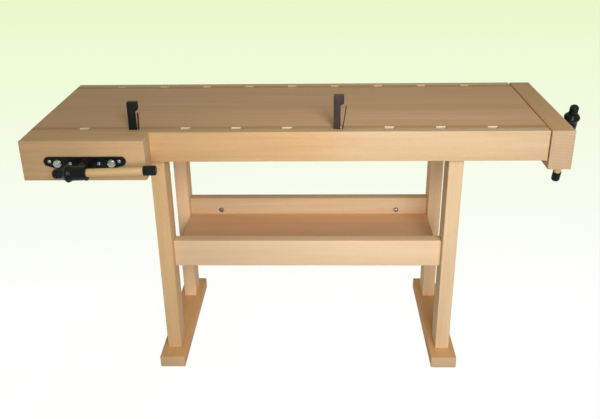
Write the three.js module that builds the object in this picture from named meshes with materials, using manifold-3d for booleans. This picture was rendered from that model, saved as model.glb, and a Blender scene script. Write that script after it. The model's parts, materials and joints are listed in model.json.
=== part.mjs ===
// A joiner's workbench of beech: a glued top with two rows of dog holes, a front vise and an end vise,
// on a trestle of two feet, four legs and two stretchers that hold a tool tray.
// Millimetres, +Z up. X runs along the bench from the front vise to the end vise, Y from front to back.
// The origin lies on the floor, under the middle of the whole bench.
import * as THREE from "three";
import { mergeVertices } from "three/addons/utils/BufferGeometryUtils.js";
import Module from "manifold-3d";

// Fits and finish
const SEAT_GAP = 0.3;
const BORE_CLEARANCE = 0.6;
const EDGE_EASE = 2;
const ROUND_SIDES = 24;
const ARC_STEPS = 6;

// Bench top: a panel between two aprons, each lined with a strip that is notched for the dogs
const TOP_LENGTH = 1615;
const TOP_DEPTH = 570;
const TOP_HEIGHT = 860;
const PANEL_THICKNESS = 30;
const APRON_HEIGHT = 97;
const APRON_THICKNESS = 29;
const DOG_STRIP_THICKNESS = 29;
const END_BOARD_THICKNESS = 30;

// Dog holes, evenly spaced from the left end, where the first two lie clear of the front vise's rods
const DOG_HOLE_WIDTH = 31;
const DOG_HOLE_DEPTH = 21;
const DOG_HOLE_PITCH = 160;
const DOG_HOLE_START = 167.5;
const DOG_HOLE_END_MARGIN = 100;

// Trestle
const LEG_OFFSET = 366.5;
const LEG_SPAN = 904;
const LEG_WIDTH = 47;
const LEG_DEPTH = 84;
const LEG_SETBACK = 27;
const LEG_PITCH = 356;
const FOOT_WIDTH = 87;
const FOOT_LENGTH = 556;
const FOOT_HEIGHT = 42;
const FOOT_FRONT = 29;
const TENON_WIDTH = 16;
const TENON_SHOULDER = 6;
const FOOT_MORTISE_FLOOR = 12;
const BEAM_MORTISE_ROOF = 20;

// Stretchers and tool tray
const STRETCHER_BOTTOM = 360.5;
const STRETCHER_HEIGHT = 95.5;
const STRETCHER_THICKNESS = 40;
const STRETCHER_SETBACK = 29;
const TRAY_SINK = 64;
const TRAY_THICKNESS = 12;
const TRAY_GROOVE = 8;

// Knock-down fasteners
const BOLT_RADIUS = 5;
const BOLT_HEAD_RADIUS = 9;
const BOLT_HEAD_HEIGHT = 6;
const BOLT_OVERRUN = 6;
const BARREL_NUT_RADIUS = 9.5;
const BARREL_NUT_LENGTH = 28;
const BARREL_NUT_INSET = 118;
const BARREL_NUT_SINK = 1;
const TOP_BOLT_OFFSET = 45;
const TOP_BOLT_BITE = 18;

// Vise jaws
const JAW_HEIGHT = 127;
const FRONT_JAW_LENGTH = 380;
const FRONT_JAW_THICKNESS = 79;
const END_JAW_THICKNESS = 72;
const END_JAW_GAP = 5;
const FRONT_VISE_X = 197;
const VISE_DROP = 72;

// Vise iron: face plate, guide rods, screw and nut plate
const PLATE_LENGTH = 251;
const PLATE_THICKNESS = 8;
const PLATE_RISE = 24;
const PLATE_END_RADIUS = 15;
const PLATE_SHOULDER_X = 74;
const PLATE_SHOULDER_DROP = 17;
const PLATE_BELLY_X = 32;
const PLATE_DROP = 27;
const BOSS_RADIUS = 20;
const BOSS_HEIGHT = 12;
const ROD_SPACING = 165;
const ROD_RISE = 4.5;
const ROD_RADIUS = 9;
const ROD_HEAD_RADIUS = 12;
const ROD_HEAD_HEIGHT = 8;
const ROD_REACH = 320;
const PLATE_SCREW_OUTER_X = 106;
const PLATE_SCREW_OUTER_Y = 11;
const PLATE_SCREW_INNER_X = 43.5;
const PLATE_SCREW_INNER_Y = 4;
const PLATE_SCREW_RADIUS = 2.5;
const PLATE_SCREW_HEAD_RADIUS = 5;
const PLATE_SCREW_HEAD_HEIGHT = 2.4;
const PLATE_SCREW_LENGTH = 32;
const SCREW_RADIUS = 10;
const SCREW_REACH = 300;
const SCREW_TIP = 3;
const COLLAR_RADIUS = 17;
const COLLAR_THICKNESS = 6;
const RING_RADIUS = 15;
const RING_THICKNESS = 6;
const SPIGOT_RADIUS = 9;
const SPIGOT_LENGTH = 28;
const NUT_PLATE_LENGTH = 210;
const NUT_PLATE_HEIGHT = 48;
const NUT_PLATE_THICKNESS = 16;
const NUT_BOSS_RADIUS = 20;
const NUT_BOSS_HEIGHT = 18;

// Vise hub and its sliding handle
const HUB_STANDOFF = 77;
const HUB_COLLAR_REACH = 45;
const HUB_PLAIN_REACH = 27;
const HUB_RADIUS = 22;
const HUB_MOUTH_RADIUS = 16;
const HUB_MOUTH_LENGTH = 10;
const HUB_COLLAR_RADIUS = 27;
const HUB_COLLAR_WIDTH = 11;
const HUB_COLLAR_FALL = 5;
const HUB_LIP = 1.5;
const HUB_LIP_WIDTH = 4;
const NECK_RADIUS = 16;
const BAR_RADIUS = 12.2;
const CAP_RADIUS = 15;
const CAP_END_THICKNESS = 10;
const CAP_CHAMFER = 1.5;
const NEAR_CAP_LENGTH = 31;
const NEAR_CAP_ROUNDING = 11;
const FAR_CAP_LENGTH = 38;
const FAR_CAP_ROUNDING = 5;
const FRONT_HANDLE_LENGTH = 309;
const FRONT_HANDLE_ANGLE = 2;
const END_HANDLE_LENGTH = 322;
const END_HANDLE_ANGLE = -72.7;

// Bench dogs: one in the second hole of the front row, one in the sixth
const DOG_LENGTH = 176;
const DOG_CLEARANCE = 0.5;
const DOG_SPRING_ROOM = 9;
const DOG_HEAD_OVERHANG = 10.5;
const DOG_HEAD_HEIGHT = 26;
const DOG_HEAD_SLOPE = 6;
const DOG_EASE = 1;
const LEFT_DOG_HOLE = 1;
const LEFT_DOG_RISE = 88;
const LEFT_SPRING_LEAN = 7;
const LEFT_SPRING_BOW = 2.5;
const MIDDLE_DOG_HOLE = 5;
const MIDDLE_DOG_RISE = 106;
const MIDDLE_SPRING_LEAN = 16;
const MIDDLE_SPRING_BOW = 1.15;
const SPRING_THICKNESS = 2;
const SPRING_MARGIN = 3;
const SPRING_FOOT = 14;
const SPRING_START = 20;
const SPRING_TIP_DROP = 36;
const SPRING_STEPS = 8;

// Heights and faces that several pieces share
const apronBottom = TOP_HEIGHT - APRON_HEIGHT;
const panelBottom = TOP_HEIGHT - PANEL_THICKNESS;
const stripFront = APRON_THICKNESS + SEAT_GAP;
const stripBack = stripFront + DOG_STRIP_THICKNESS;
const panelFront = stripBack + SEAT_GAP;
const panelBack = TOP_DEPTH - panelFront;
const legTop = apronBottom - SEAT_GAP;
const legInnerLeft = LEG_OFFSET + LEG_WIDTH;
const legRight = legInnerLeft + LEG_SPAN;
const frontJawFace = -SEAT_GAP - FRONT_JAW_THICKNESS;
const endJawBack = TOP_LENGTH + END_JAW_GAP;
const endJawFace = endJawBack + END_JAW_THICKNESS;
const hubReach = HUB_STANDOFF + HUB_COLLAR_RADIUS;
const viseHeight = TOP_HEIGHT - VISE_DROP;
const benchMiddleX = (endJawFace + hubReach) / 2;
const benchMiddleY = (TOP_DEPTH + frontJawFace - hubReach) / 2;

// Materials
const beech = new THREE.MeshStandardMaterial({ color: 0xdcb48a, roughness: 0.55, metalness: 0 });
const turnedBeech = new THREE.MeshStandardMaterial({ color: 0xd9ad78, roughness: 0.5, metalness: 0 });
const blackIron = new THREE.MeshStandardMaterial({ color: 0x17181c, roughness: 0.45, metalness: 0.3 });
const zincSteel = new THREE.MeshStandardMaterial({ color: 0xc9cac8, roughness: 0.3, metalness: 1 });
const blackPlastic = new THREE.MeshStandardMaterial({ color: 0x14161b, roughness: 0.5, metalness: 0 });
const dogIron = new THREE.MeshStandardMaterial({ color: 0x24272c, roughness: 0.5, metalness: 0.4 });
const springSteel = new THREE.MeshStandardMaterial({ color: 0x3b2a22, roughness: 0.4, metalness: 0.8 });

const wasm = await Module();
wasm.setup();

// A closed geometry as a solid that can be joined and cut, without the slivers at the poles of a lathe.
function toSolid(geometry) {
  const bare = geometry.index ? geometry.toNonIndexed() : geometry.clone();
  bare.deleteAttribute("normal");
  bare.deleteAttribute("uv");
  const merged = mergeVertices(bare, 1e-4);
  const index = merged.index.array;
  const kept = [];
  for (let i = 0; i < index.length; i += 3) {
    const [a, b, c] = [index[i], index[i + 1], index[i + 2]];
    if (a !== b && b !== c && c !== a) kept.push(a, b, c);
  }
  const vertProperties = merged.attributes.position.array;
  return new wasm.Manifold(new wasm.Mesh({ numProp: 3, vertProperties, triVerts: new Uint32Array(kept) }));
}

// A solid's surface as a geometry.
function toGeometry(solid) {
  const mesh = solid.getMesh();
  const geometry = new THREE.BufferGeometry();
  geometry.setAttribute("position", new THREE.BufferAttribute(mesh.vertProperties, 3));
  geometry.setIndex(new THREE.BufferAttribute(mesh.triVerts, 1));
  geometry.computeVertexNormals();
  return geometry;
}

// The first geometry with the others joined to it.
function join(body, ...others) {
  return toGeometry(others.reduce((solid, other) => solid.add(toSolid(other)), toSolid(body)));
}

// The first geometry with the others cut out of it.
function cut(body, tools) {
  return toGeometry(tools.reduce((solid, tool) => solid.subtract(toSolid(tool)), toSolid(body)));
}

// A square-edged block between two corners.
function block(low, high) {
  const size = high.map((value, i) => value - low[i]);
  const geometry = new THREE.BoxGeometry(...size);
  return geometry.translate(...low.map((value, i) => value + size[i] / 2));
}

// A board between two corners, with all its edges chamfered.
function easedBoard(low, high, ease = EDGE_EASE) {
  const [length, depth, height] = high.map((value, i) => value - low[i]);
  const outline = new THREE.Shape([
    new THREE.Vector2(ease, 0),
    new THREE.Vector2(length - ease, 0),
    new THREE.Vector2(length, ease),
    new THREE.Vector2(length, depth - ease),
    new THREE.Vector2(length - ease, depth),
    new THREE.Vector2(ease, depth),
    new THREE.Vector2(0, depth - ease),
    new THREE.Vector2(0, ease),
  ]);
  return slab(outline, height, ease).translate(...low);
}

// An outline in XY carried up from z = 0 to the thickness, with both rims chamfered.
function slab(outline, thickness, ease) {
  const geometry = new THREE.ExtrudeGeometry(outline, {
    depth: thickness - 2 * ease,
    bevelThickness: ease,
    bevelSize: ease,
    bevelOffset: -ease,
    bevelSegments: 1,
    curveSegments: ARC_STEPS,
  });
  return geometry.translate(0, 0, ease);
}

// A round bar between two points.
function bar(radius, from, to, sides = ROUND_SIDES) {
  const start = new THREE.Vector3(...from);
  const span = new THREE.Vector3(...to).sub(start);
  const length = span.length();
  const geometry = new THREE.CylinderGeometry(radius, radius, length, sides);
  geometry.translate(0, length / 2, 0);
  const turn = new THREE.Quaternion().setFromUnitVectors(new THREE.Vector3(0, 1, 0), span.normalize());
  return geometry.applyQuaternion(turn).translate(...from);
}

// A turned piece about the Y axis from [radius, height] pairs that start and end on the axis.
function turned(profile) {
  const points = profile.map(([radius, height]) => new THREE.Vector2(radius, height));
  return toGeometry(toSolid(new THREE.LatheGeometry(points, ROUND_SIDES)));
}

// Adds a named piece to a group, with its low corner as its position.
function piece(group, name, material, geometry) {
  geometry.computeBoundingBox();
  const corner = geometry.boundingBox.min.clone();
  geometry.translate(-corner.x, -corner.y, -corner.z);
  const mesh = new THREE.Mesh(geometry, material);
  mesh.name = name;
  mesh.position.copy(corner);
  group.add(mesh);
}

const workbench = new THREE.Group();
const bench = new THREE.Group();
bench.position.set(-benchMiddleX, -benchMiddleY, 0);
workbench.add(bench);

// Each vise has its own axes: x along its face plate, y up, z out of the jaw's face along the screw.
const frontVise = new THREE.Group();
frontVise.position.set(FRONT_VISE_X, frontJawFace, viseHeight);
frontVise.rotation.set(Math.PI / 2, 0, 0);
const endVise = new THREE.Group();
endVise.position.set(endJawFace, TOP_DEPTH / 2, viseHeight);
endVise.rotation.set(Math.PI / 2, Math.PI / 2, 0);
for (const vise of [frontVise, endVise]) {
  vise.updateMatrix();
  bench.add(vise);
}

// Place and radius of a vise's screw and of its two guide rods, which lie a little higher.
const barPlaces = [
  [0, 0, SCREW_RADIUS],
  [-ROD_SPACING / 2, ROD_RISE, ROD_RADIUS],
  [ROD_SPACING / 2, ROD_RISE, ROD_RADIUS],
];

// Bores for a vise's screw and guide rods, from its face plate to a depth behind the jaw's face.
function viseBores(vise, depth) {
  const mouth = PLATE_THICKNESS + BOSS_HEIGHT + EDGE_EASE;
  return barPlaces.map(([x, y, radius]) => {
    const bore = bar(radius + BORE_CLEARANCE, [x, y, mouth], [x, y, -depth]);
    return bore.applyMatrix4(vise.matrix);
  });
}
const frontBores = viseBores(frontVise, FRONT_JAW_THICKNESS + ROD_REACH);
const endBores = viseBores(endVise, endJawFace - legRight + EDGE_EASE);

// Middles of the dog holes along the top.
const dogHoleRow = TOP_LENGTH - DOG_HOLE_START - DOG_HOLE_END_MARGIN;
const dogHoleCount = Math.floor(dogHoleRow / DOG_HOLE_PITCH) + 1;
const dogHoles = Array.from({ length: dogHoleCount }, (_, i) => DOG_HOLE_START + i * DOG_HOLE_PITCH);

// Notches for the dogs in a strip, from one depth of the bench to another.
function dogNotches(front, back) {
  const half = DOG_HOLE_WIDTH / 2;
  return dogHoles.map((x) =>
    block([x - half, front, apronBottom - EDGE_EASE], [x + half, back, TOP_HEIGHT + EDGE_EASE]),
  );
}

// Top: the bolts from the beams bite into the panel from below.
const topBoltY = TOP_DEPTH / 2 - TOP_BOLT_OFFSET;
const legMiddles = [LEG_OFFSET + LEG_WIDTH / 2, legRight + LEG_WIDTH / 2];
const topBoltBores = legMiddles.map((x) =>
  bar(BOLT_RADIUS + BORE_CLEARANCE, [x, topBoltY, 0], [x, topBoltY, panelBottom + TOP_BOLT_BITE + SEAT_GAP]),
);
const panel = block([0, panelFront, panelBottom], [TOP_LENGTH, panelBack, TOP_HEIGHT]);
piece(bench, "bench_top", beech, cut(panel, topBoltBores));

const frontApron = block([0, 0, apronBottom], [TOP_LENGTH, APRON_THICKNESS, TOP_HEIGHT]);
piece(bench, "front_apron", beech, cut(frontApron, frontBores));
const frontStrip = block([0, stripFront, apronBottom], [TOP_LENGTH, stripBack, TOP_HEIGHT]);
const frontNotches = dogNotches(stripFront - EDGE_EASE, stripFront + DOG_HOLE_DEPTH);
piece(bench, "front_dog_strip", beech, cut(frontStrip, [...frontNotches, ...frontBores]));

const rearApron = block([0, TOP_DEPTH - APRON_THICKNESS, apronBottom], [TOP_LENGTH, TOP_DEPTH, TOP_HEIGHT]);
piece(bench, "rear_apron", beech, rearApron);
const rearStripBack = TOP_DEPTH - stripFront;
const rearStrip = block([0, TOP_DEPTH - stripBack, apronBottom], [TOP_LENGTH, rearStripBack, TOP_HEIGHT]);
const rearNotches = dogNotches(rearStripBack - DOG_HOLE_DEPTH, rearStripBack + EDGE_EASE);
piece(bench, "rear_dog_strip", beech, cut(rearStrip, rearNotches));

const endBoard = block(
  [TOP_LENGTH - END_BOARD_THICKNESS, panelFront, apronBottom],
  [TOP_LENGTH, panelBack, panelBottom - SEAT_GAP],
);
piece(bench, "end_board", beech, cut(endBoard, endBores));

// Trestle: each leg has a tenon into its foot and one into the beam under the panel.
const legFronts = { front: LEG_SETBACK, rear: LEG_SETBACK + LEG_PITCH };
const footTenonBottom = FOOT_MORTISE_FLOOR + SEAT_GAP;
const beamTenonTop = panelBottom - SEAT_GAP - BEAM_MORTISE_ROOF - SEAT_GAP;
const boltHeight = STRETCHER_BOTTOM + STRETCHER_HEIGHT / 2;

// The two tenons of a leg, grown by a clearance for their mortises.
function tenons(middleX, legFront, clearance) {
  const half = TENON_WIDTH / 2 + clearance;
  const footLow = legFront + TENON_SHOULDER - clearance;
  const footHigh = legFront + LEG_DEPTH - TENON_SHOULDER + clearance;
  const beamLow = Math.max(legFront, panelFront) + TENON_SHOULDER - clearance;
  const beamHigh = Math.min(legFront + LEG_DEPTH, panelBack) - TENON_SHOULDER + clearance;
  return [
    block(
      [middleX - half, footLow, footTenonBottom - clearance],
      [middleX + half, footHigh, FOOT_HEIGHT + EDGE_EASE],
    ),
    block([middleX - half, beamLow, legTop - EDGE_EASE], [middleX + half, beamHigh, beamTenonTop + clearance]),
  ];
}

const boltReach = BARREL_NUT_INSET + BARREL_NUT_RADIUS + BOLT_OVERRUN;
const sides = { left: { x: LEG_OFFSET, outward: -1 }, right: { x: legRight, outward: 1 } };
for (const [side, { x, outward }] of Object.entries(sides)) {
  const middle = x + LEG_WIDTH / 2;
  const outerFace = middle + (outward * LEG_WIDTH) / 2;
  const innerFace = middle - (outward * LEG_WIDTH) / 2;
  const mortises = [];
  for (const [end, legFront] of Object.entries(legFronts)) {
    const stretcherFront = legFront + STRETCHER_SETBACK;
    const boltY = stretcherFront + STRETCHER_THICKNESS / 2;
    const boltBore = bar(
      BOLT_RADIUS + BORE_CLEARANCE,
      [outerFace + outward * EDGE_EASE, boltY, boltHeight],
      [innerFace - outward * EDGE_EASE, boltY, boltHeight],
    );
    const post = easedBoard(
      [x, legFront, FOOT_HEIGHT + SEAT_GAP],
      [x + LEG_WIDTH, legFront + LEG_DEPTH, legTop],
    );
    const leg = cut(join(post, ...tenons(middle, legFront, 0)), [boltBore, ...endBores]);
    piece(bench, `${side}_${end}_leg`, beech, leg);
    mortises.push(...tenons(middle, legFront, SEAT_GAP));

    // Bolt through the leg into the stretcher's end, and the barrel nut that it draws on.
    const headFace = outerFace + outward * SEAT_GAP;
    const tip = innerFace - outward * boltReach;
    const headEnd = headFace + outward * BOLT_HEAD_HEIGHT;
    const shank = bar(BOLT_RADIUS, [headEnd, boltY, boltHeight], [tip, boltY, boltHeight]);
    const head = bar(BOLT_HEAD_RADIUS, [headFace, boltY, boltHeight], [headEnd, boltY, boltHeight], 6);
    piece(bench, `${side}_${end}_bolt`, zincSteel, join(head, shank));

    const inward = end === "front" ? 1 : -1;
    const innerSide = boltY + (inward * STRETCHER_THICKNESS) / 2;
    const nutX = innerFace - outward * BARREL_NUT_INSET;
    const nutOuter = innerSide - inward * BARREL_NUT_SINK;
    const nutInner = nutOuter - inward * BARREL_NUT_LENGTH;
    const nut = bar(BARREL_NUT_RADIUS, [nutX, nutOuter, boltHeight], [nutX, nutInner, boltHeight]);
    const nutHole = bar(
      BOLT_RADIUS + BORE_CLEARANCE,
      [nutX - BARREL_NUT_RADIUS - EDGE_EASE, boltY, boltHeight],
      [nutX + BARREL_NUT_RADIUS + EDGE_EASE, boltY, boltHeight],
    );
    piece(bench, `${side}_${end}_barrel_nut`, zincSteel, cut(nut, [nutHole]));
  }

  const footX = middle - FOOT_WIDTH / 2;
  const foot = easedBoard(
    [footX, -FOOT_FRONT, 0],
    [footX + FOOT_WIDTH, FOOT_LENGTH - FOOT_FRONT, FOOT_HEIGHT],
  );
  piece(bench, `${side}_foot`, beech, cut(foot, mortises));

  const beamBottom = legTop + SEAT_GAP;
  const beam = block([x, panelFront, beamBottom], [x + LEG_WIDTH, panelBack, panelBottom - SEAT_GAP]);
  piece(bench, `${side}_top_beam`, beech, cut(beam, [...mortises, ...topBoltBores, ...endBores]));

  const topBoltSeat = beamBottom - SEAT_GAP;
  const topBoltHead = bar(
    BOLT_HEAD_RADIUS,
    [middle, topBoltY, topBoltSeat - BOLT_HEAD_HEIGHT],
    [middle, topBoltY, topBoltSeat],
    6,
  );
  const topBoltShank = bar(
    BOLT_RADIUS,
    [middle, topBoltY, topBoltSeat - BOLT_HEAD_HEIGHT],
    [middle, topBoltY, panelBottom + TOP_BOLT_BITE],
  );
  piece(bench, `${side}_top_bolt`, zincSteel, join(topBoltHead, topBoltShank));
}

// Stretchers: bored for the bolts and barrel nuts, and grooved for the tray's bottom.
const stretcherLeft = legInnerLeft + SEAT_GAP;
const stretcherRight = legRight - SEAT_GAP;
const trayTop = STRETCHER_BOTTOM + STRETCHER_HEIGHT - TRAY_SINK;
const trayBottom = trayTop - TRAY_THICKNESS;
for (const [end, legFront] of Object.entries(legFronts)) {
  const front = legFront + STRETCHER_SETBACK;
  const back = front + STRETCHER_THICKNESS;
  const boltY = (front + back) / 2;
  const inward = end === "front" ? 1 : -1;
  const innerSide = boltY + (inward * STRETCHER_THICKNESS) / 2;
  const nutEnd = innerSide - inward * (BARREL_NUT_SINK + BARREL_NUT_LENGTH + SEAT_GAP);
  const cuts = [];
  for (const { face, inwards } of [
    { face: legInnerLeft, inwards: 1 },
    { face: legRight, inwards: -1 },
  ]) {
    const nutX = face + inwards * BARREL_NUT_INSET;
    const boltEnd = face + inwards * (boltReach + SEAT_GAP);
    const boltBore = bar(BOLT_RADIUS + BORE_CLEARANCE, [face, boltY, boltHeight], [boltEnd, boltY, boltHeight]);
    const nutStart = innerSide + inward * EDGE_EASE;
    const nutBore = bar(
      BARREL_NUT_RADIUS + SEAT_GAP,
      [nutX, nutStart, boltHeight],
      [nutX, nutEnd, boltHeight],
    );
    cuts.push(boltBore, nutBore);
  }
  const grooveEdge = innerSide - inward * TRAY_GROOVE;
  const grooveMouth = innerSide + inward * EDGE_EASE;
  cuts.push(
    block(
      [0, Math.min(grooveEdge, grooveMouth), trayBottom - SEAT_GAP],
      [TOP_LENGTH, Math.max(grooveEdge, grooveMouth), trayTop + SEAT_GAP],
    ),
  );
  const stretcher = easedBoard(
    [stretcherLeft, front, STRETCHER_BOTTOM],
    [stretcherRight, back, STRETCHER_BOTTOM + STRETCHER_HEIGHT],
  );
  piece(bench, `${end}_stretcher`, beech, cut(stretcher, cuts));
}
const trayFront = legFronts.front + STRETCHER_SETBACK + STRETCHER_THICKNESS - TRAY_GROOVE + SEAT_GAP;
const trayBack = legFronts.rear + STRETCHER_SETBACK + TRAY_GROOVE - SEAT_GAP;
piece(
  bench,
  "tray_bottom",
  beech,
  block([stretcherLeft, trayFront, trayBottom], [stretcherRight, trayBack, trayTop]),
);

// Vise jaws: bored for the screw and rods, with a recess for the ring that pulls the jaw open.
const plateScrewPlaces = [
  [-PLATE_SCREW_OUTER_X, PLATE_SCREW_OUTER_Y],
  [-PLATE_SCREW_INNER_X, PLATE_SCREW_INNER_Y],
  [PLATE_SCREW_INNER_X, PLATE_SCREW_INNER_Y],
  [PLATE_SCREW_OUTER_X, PLATE_SCREW_OUTER_Y],
];
const plateBack = SEAT_GAP;
const plateFace = plateBack + PLATE_THICKNESS;
const bossFace = plateFace + BOSS_HEIGHT;
const plateScrewBores = plateScrewPlaces.map(([x, y]) =>
  bar(PLATE_SCREW_RADIUS + BORE_CLEARANCE, [x, y, plateFace + EDGE_EASE], [x, y, -PLATE_SCREW_LENGTH - SEAT_GAP]),
);

// The cuts in a jaw, in the bench's own axes.
function jawCuts(vise, bores) {
  const recess = bar(RING_RADIUS + BORE_CLEARANCE, [0, 0, EDGE_EASE], [0, 0, -RING_THICKNESS - SEAT_GAP]);
  const local = [recess, ...plateScrewBores].map((tool) => tool.clone().applyMatrix4(vise.matrix));
  return [...bores, ...local];
}
const jawBottom = TOP_HEIGHT - JAW_HEIGHT;
const frontJaw = easedBoard([0, frontJawFace, jawBottom], [FRONT_JAW_LENGTH, -SEAT_GAP, TOP_HEIGHT]);
piece(bench, "front_jaw", beech, cut(frontJaw, jawCuts(frontVise, frontBores)));
const endJaw = easedBoard([endJawBack, 0, jawBottom], [endJawFace, TOP_DEPTH, TOP_HEIGHT]);
piece(bench, "end_jaw", beech, cut(endJaw, jawCuts(endVise, endBores)));

// Outline of a face plate: a straight top edge, round ends, and a lower edge that falls to a belly.
function plateOutline() {
  const endX = PLATE_LENGTH / 2 - PLATE_END_RADIUS;
  const endY = PLATE_RISE - PLATE_END_RADIUS;
  const shape = new THREE.Shape();
  shape.moveTo(-endX, PLATE_RISE);
  shape.lineTo(endX, PLATE_RISE);
  shape.absarc(endX, endY, PLATE_END_RADIUS, Math.PI / 2, -Math.PI / 3, true);
  shape.lineTo(PLATE_SHOULDER_X, -PLATE_SHOULDER_DROP);
  shape.lineTo(PLATE_BELLY_X, -PLATE_DROP);
  shape.lineTo(-PLATE_BELLY_X, -PLATE_DROP);
  shape.lineTo(-PLATE_SHOULDER_X, -PLATE_SHOULDER_DROP);
  shape.absarc(-endX, endY, PLATE_END_RADIUS, (Math.PI * 4) / 3, Math.PI / 2, true);
  return shape;
}

// A face plate with its boss, bored for the screw, the rods and the wood screws.
function facePlate() {
  const plate = slab(plateOutline(), PLATE_THICKNESS, EDGE_EASE / 2).translate(0, 0, plateBack);
  const boss = bar(BOSS_RADIUS, [0, 0, plateBack + EDGE_EASE], [0, 0, bossFace]);
  const bores = barPlaces.map(([x, y, radius]) =>
    bar(radius + BORE_CLEARANCE, [x, y, -EDGE_EASE], [x, y, bossFace + EDGE_EASE]),
  );
  return cut(join(plate, boss), [...bores, ...plateScrewBores]);
}

// A guide rod with the hexagon head that clamps it to the face plate.
function guideRod(x, jawThickness) {
  const seat = plateFace + SEAT_GAP;
  const crown = seat + ROD_HEAD_HEIGHT;
  const shank = bar(ROD_RADIUS, [x, ROD_RISE, crown], [x, ROD_RISE, -jawThickness - ROD_REACH]);
  return join(bar(ROD_HEAD_RADIUS, [x, ROD_RISE, seat], [x, ROD_RISE, crown], 6), shank);
}

// A wood screw through the face plate.
function plateScrew(x, y) {
  const seat = plateFace + SEAT_GAP;
  const crown = seat + PLATE_SCREW_HEAD_HEIGHT;
  const head = bar(PLATE_SCREW_HEAD_RADIUS, [x, y, seat], [x, y, crown], ROUND_SIDES / 2);
  return join(head, bar(PLATE_SCREW_RADIUS, [x, y, crown], [x, y, -PLATE_SCREW_LENGTH], ROUND_SIDES / 2));
}

// The screw: its collar pushes on the plate's boss, its ring pulls on the plate's back,
// and its spigot is held in the hub.
const collarBack = bossFace + SEAT_GAP;
const collarFace = collarBack + COLLAR_THICKNESS;
function viseScrew(jawThickness) {
  const tip = -jawThickness - SCREW_REACH;
  const profile = [
    [0, tip],
    [SCREW_RADIUS - SCREW_TIP, tip],
    [SCREW_RADIUS, tip + SCREW_TIP],
    [SCREW_RADIUS, -RING_THICKNESS],
    [RING_RADIUS, -RING_THICKNESS],
    [RING_RADIUS, 0],
    [SCREW_RADIUS, 0],
    [SCREW_RADIUS, collarBack],
    [COLLAR_RADIUS, collarBack],
    [COLLAR_RADIUS, collarFace],
    [SPIGOT_RADIUS, collarFace],
    [SPIGOT_RADIUS, collarFace + SPIGOT_LENGTH],
    [0, collarFace + SPIGOT_LENGTH],
  ];
  return turned(profile).rotateX(Math.PI / 2);
}

// The hub: a cross tube for the handle, with a heavy collar near one mouth, on a neck over the spigot.
function viseHub() {
  const collarStart = -HUB_COLLAR_REACH + HUB_MOUTH_LENGTH;
  const collarEnd = collarStart + HUB_COLLAR_WIDTH;
  const lipStart = HUB_PLAIN_REACH - HUB_LIP_WIDTH;
  const tube = turned([
    [0, -HUB_COLLAR_REACH],
    [HUB_MOUTH_RADIUS, -HUB_COLLAR_REACH],
    [HUB_COLLAR_RADIUS, collarStart],
    [HUB_COLLAR_RADIUS, collarEnd],
    [HUB_RADIUS, collarEnd + HUB_COLLAR_FALL],
    [HUB_RADIUS, lipStart - HUB_LIP_WIDTH],
    [HUB_RADIUS + HUB_LIP, lipStart],
    [HUB_RADIUS + HUB_LIP, HUB_PLAIN_REACH],
    [0, HUB_PLAIN_REACH],
  ]);
  tube.rotateZ(-Math.PI / 2).translate(0, 0, HUB_STANDOFF);
  const neckStart = collarFace + SEAT_GAP;
  const neck = bar(NECK_RADIUS, [0, 0, neckStart], [0, 0, HUB_STANDOFF]);
  const barBore = bar(
    BAR_RADIUS + BORE_CLEARANCE,
    [-HUB_COLLAR_REACH - EDGE_EASE, 0, HUB_STANDOFF],
    [HUB_PLAIN_REACH + EDGE_EASE, 0, HUB_STANDOFF],
  );
  const socketEnd = collarFace + SPIGOT_LENGTH + SEAT_GAP;
  const socket = bar(SPIGOT_RADIUS + SEAT_GAP, [0, 0, neckStart - EDGE_EASE], [0, 0, socketEnd]);
  return cut(join(tube, neck), [barBore, socket]);
}

// A handle's end cap along X: its open mouth at x = 0, its rounded end at its length.
function endCap(length, rounding) {
  const socket = BAR_RADIUS + SEAT_GAP;
  const profile = [
    [0, length - CAP_END_THICKNESS],
    [socket, length - CAP_END_THICKNESS],
    [socket, 0],
    [CAP_RADIUS - CAP_CHAMFER, 0],
    [CAP_RADIUS, CAP_CHAMFER],
  ];
  for (let i = 0; i <= ARC_STEPS; i += 1) {
    const angle = ((Math.PI / 2) * i) / ARC_STEPS;
    const radius = CAP_RADIUS - rounding + rounding * Math.cos(angle);
    profile.push([radius, length - rounding + rounding * Math.sin(angle)]);
  }
  profile.push([0, length]);
  return turned(profile).rotateZ(-Math.PI / 2);
}

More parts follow.
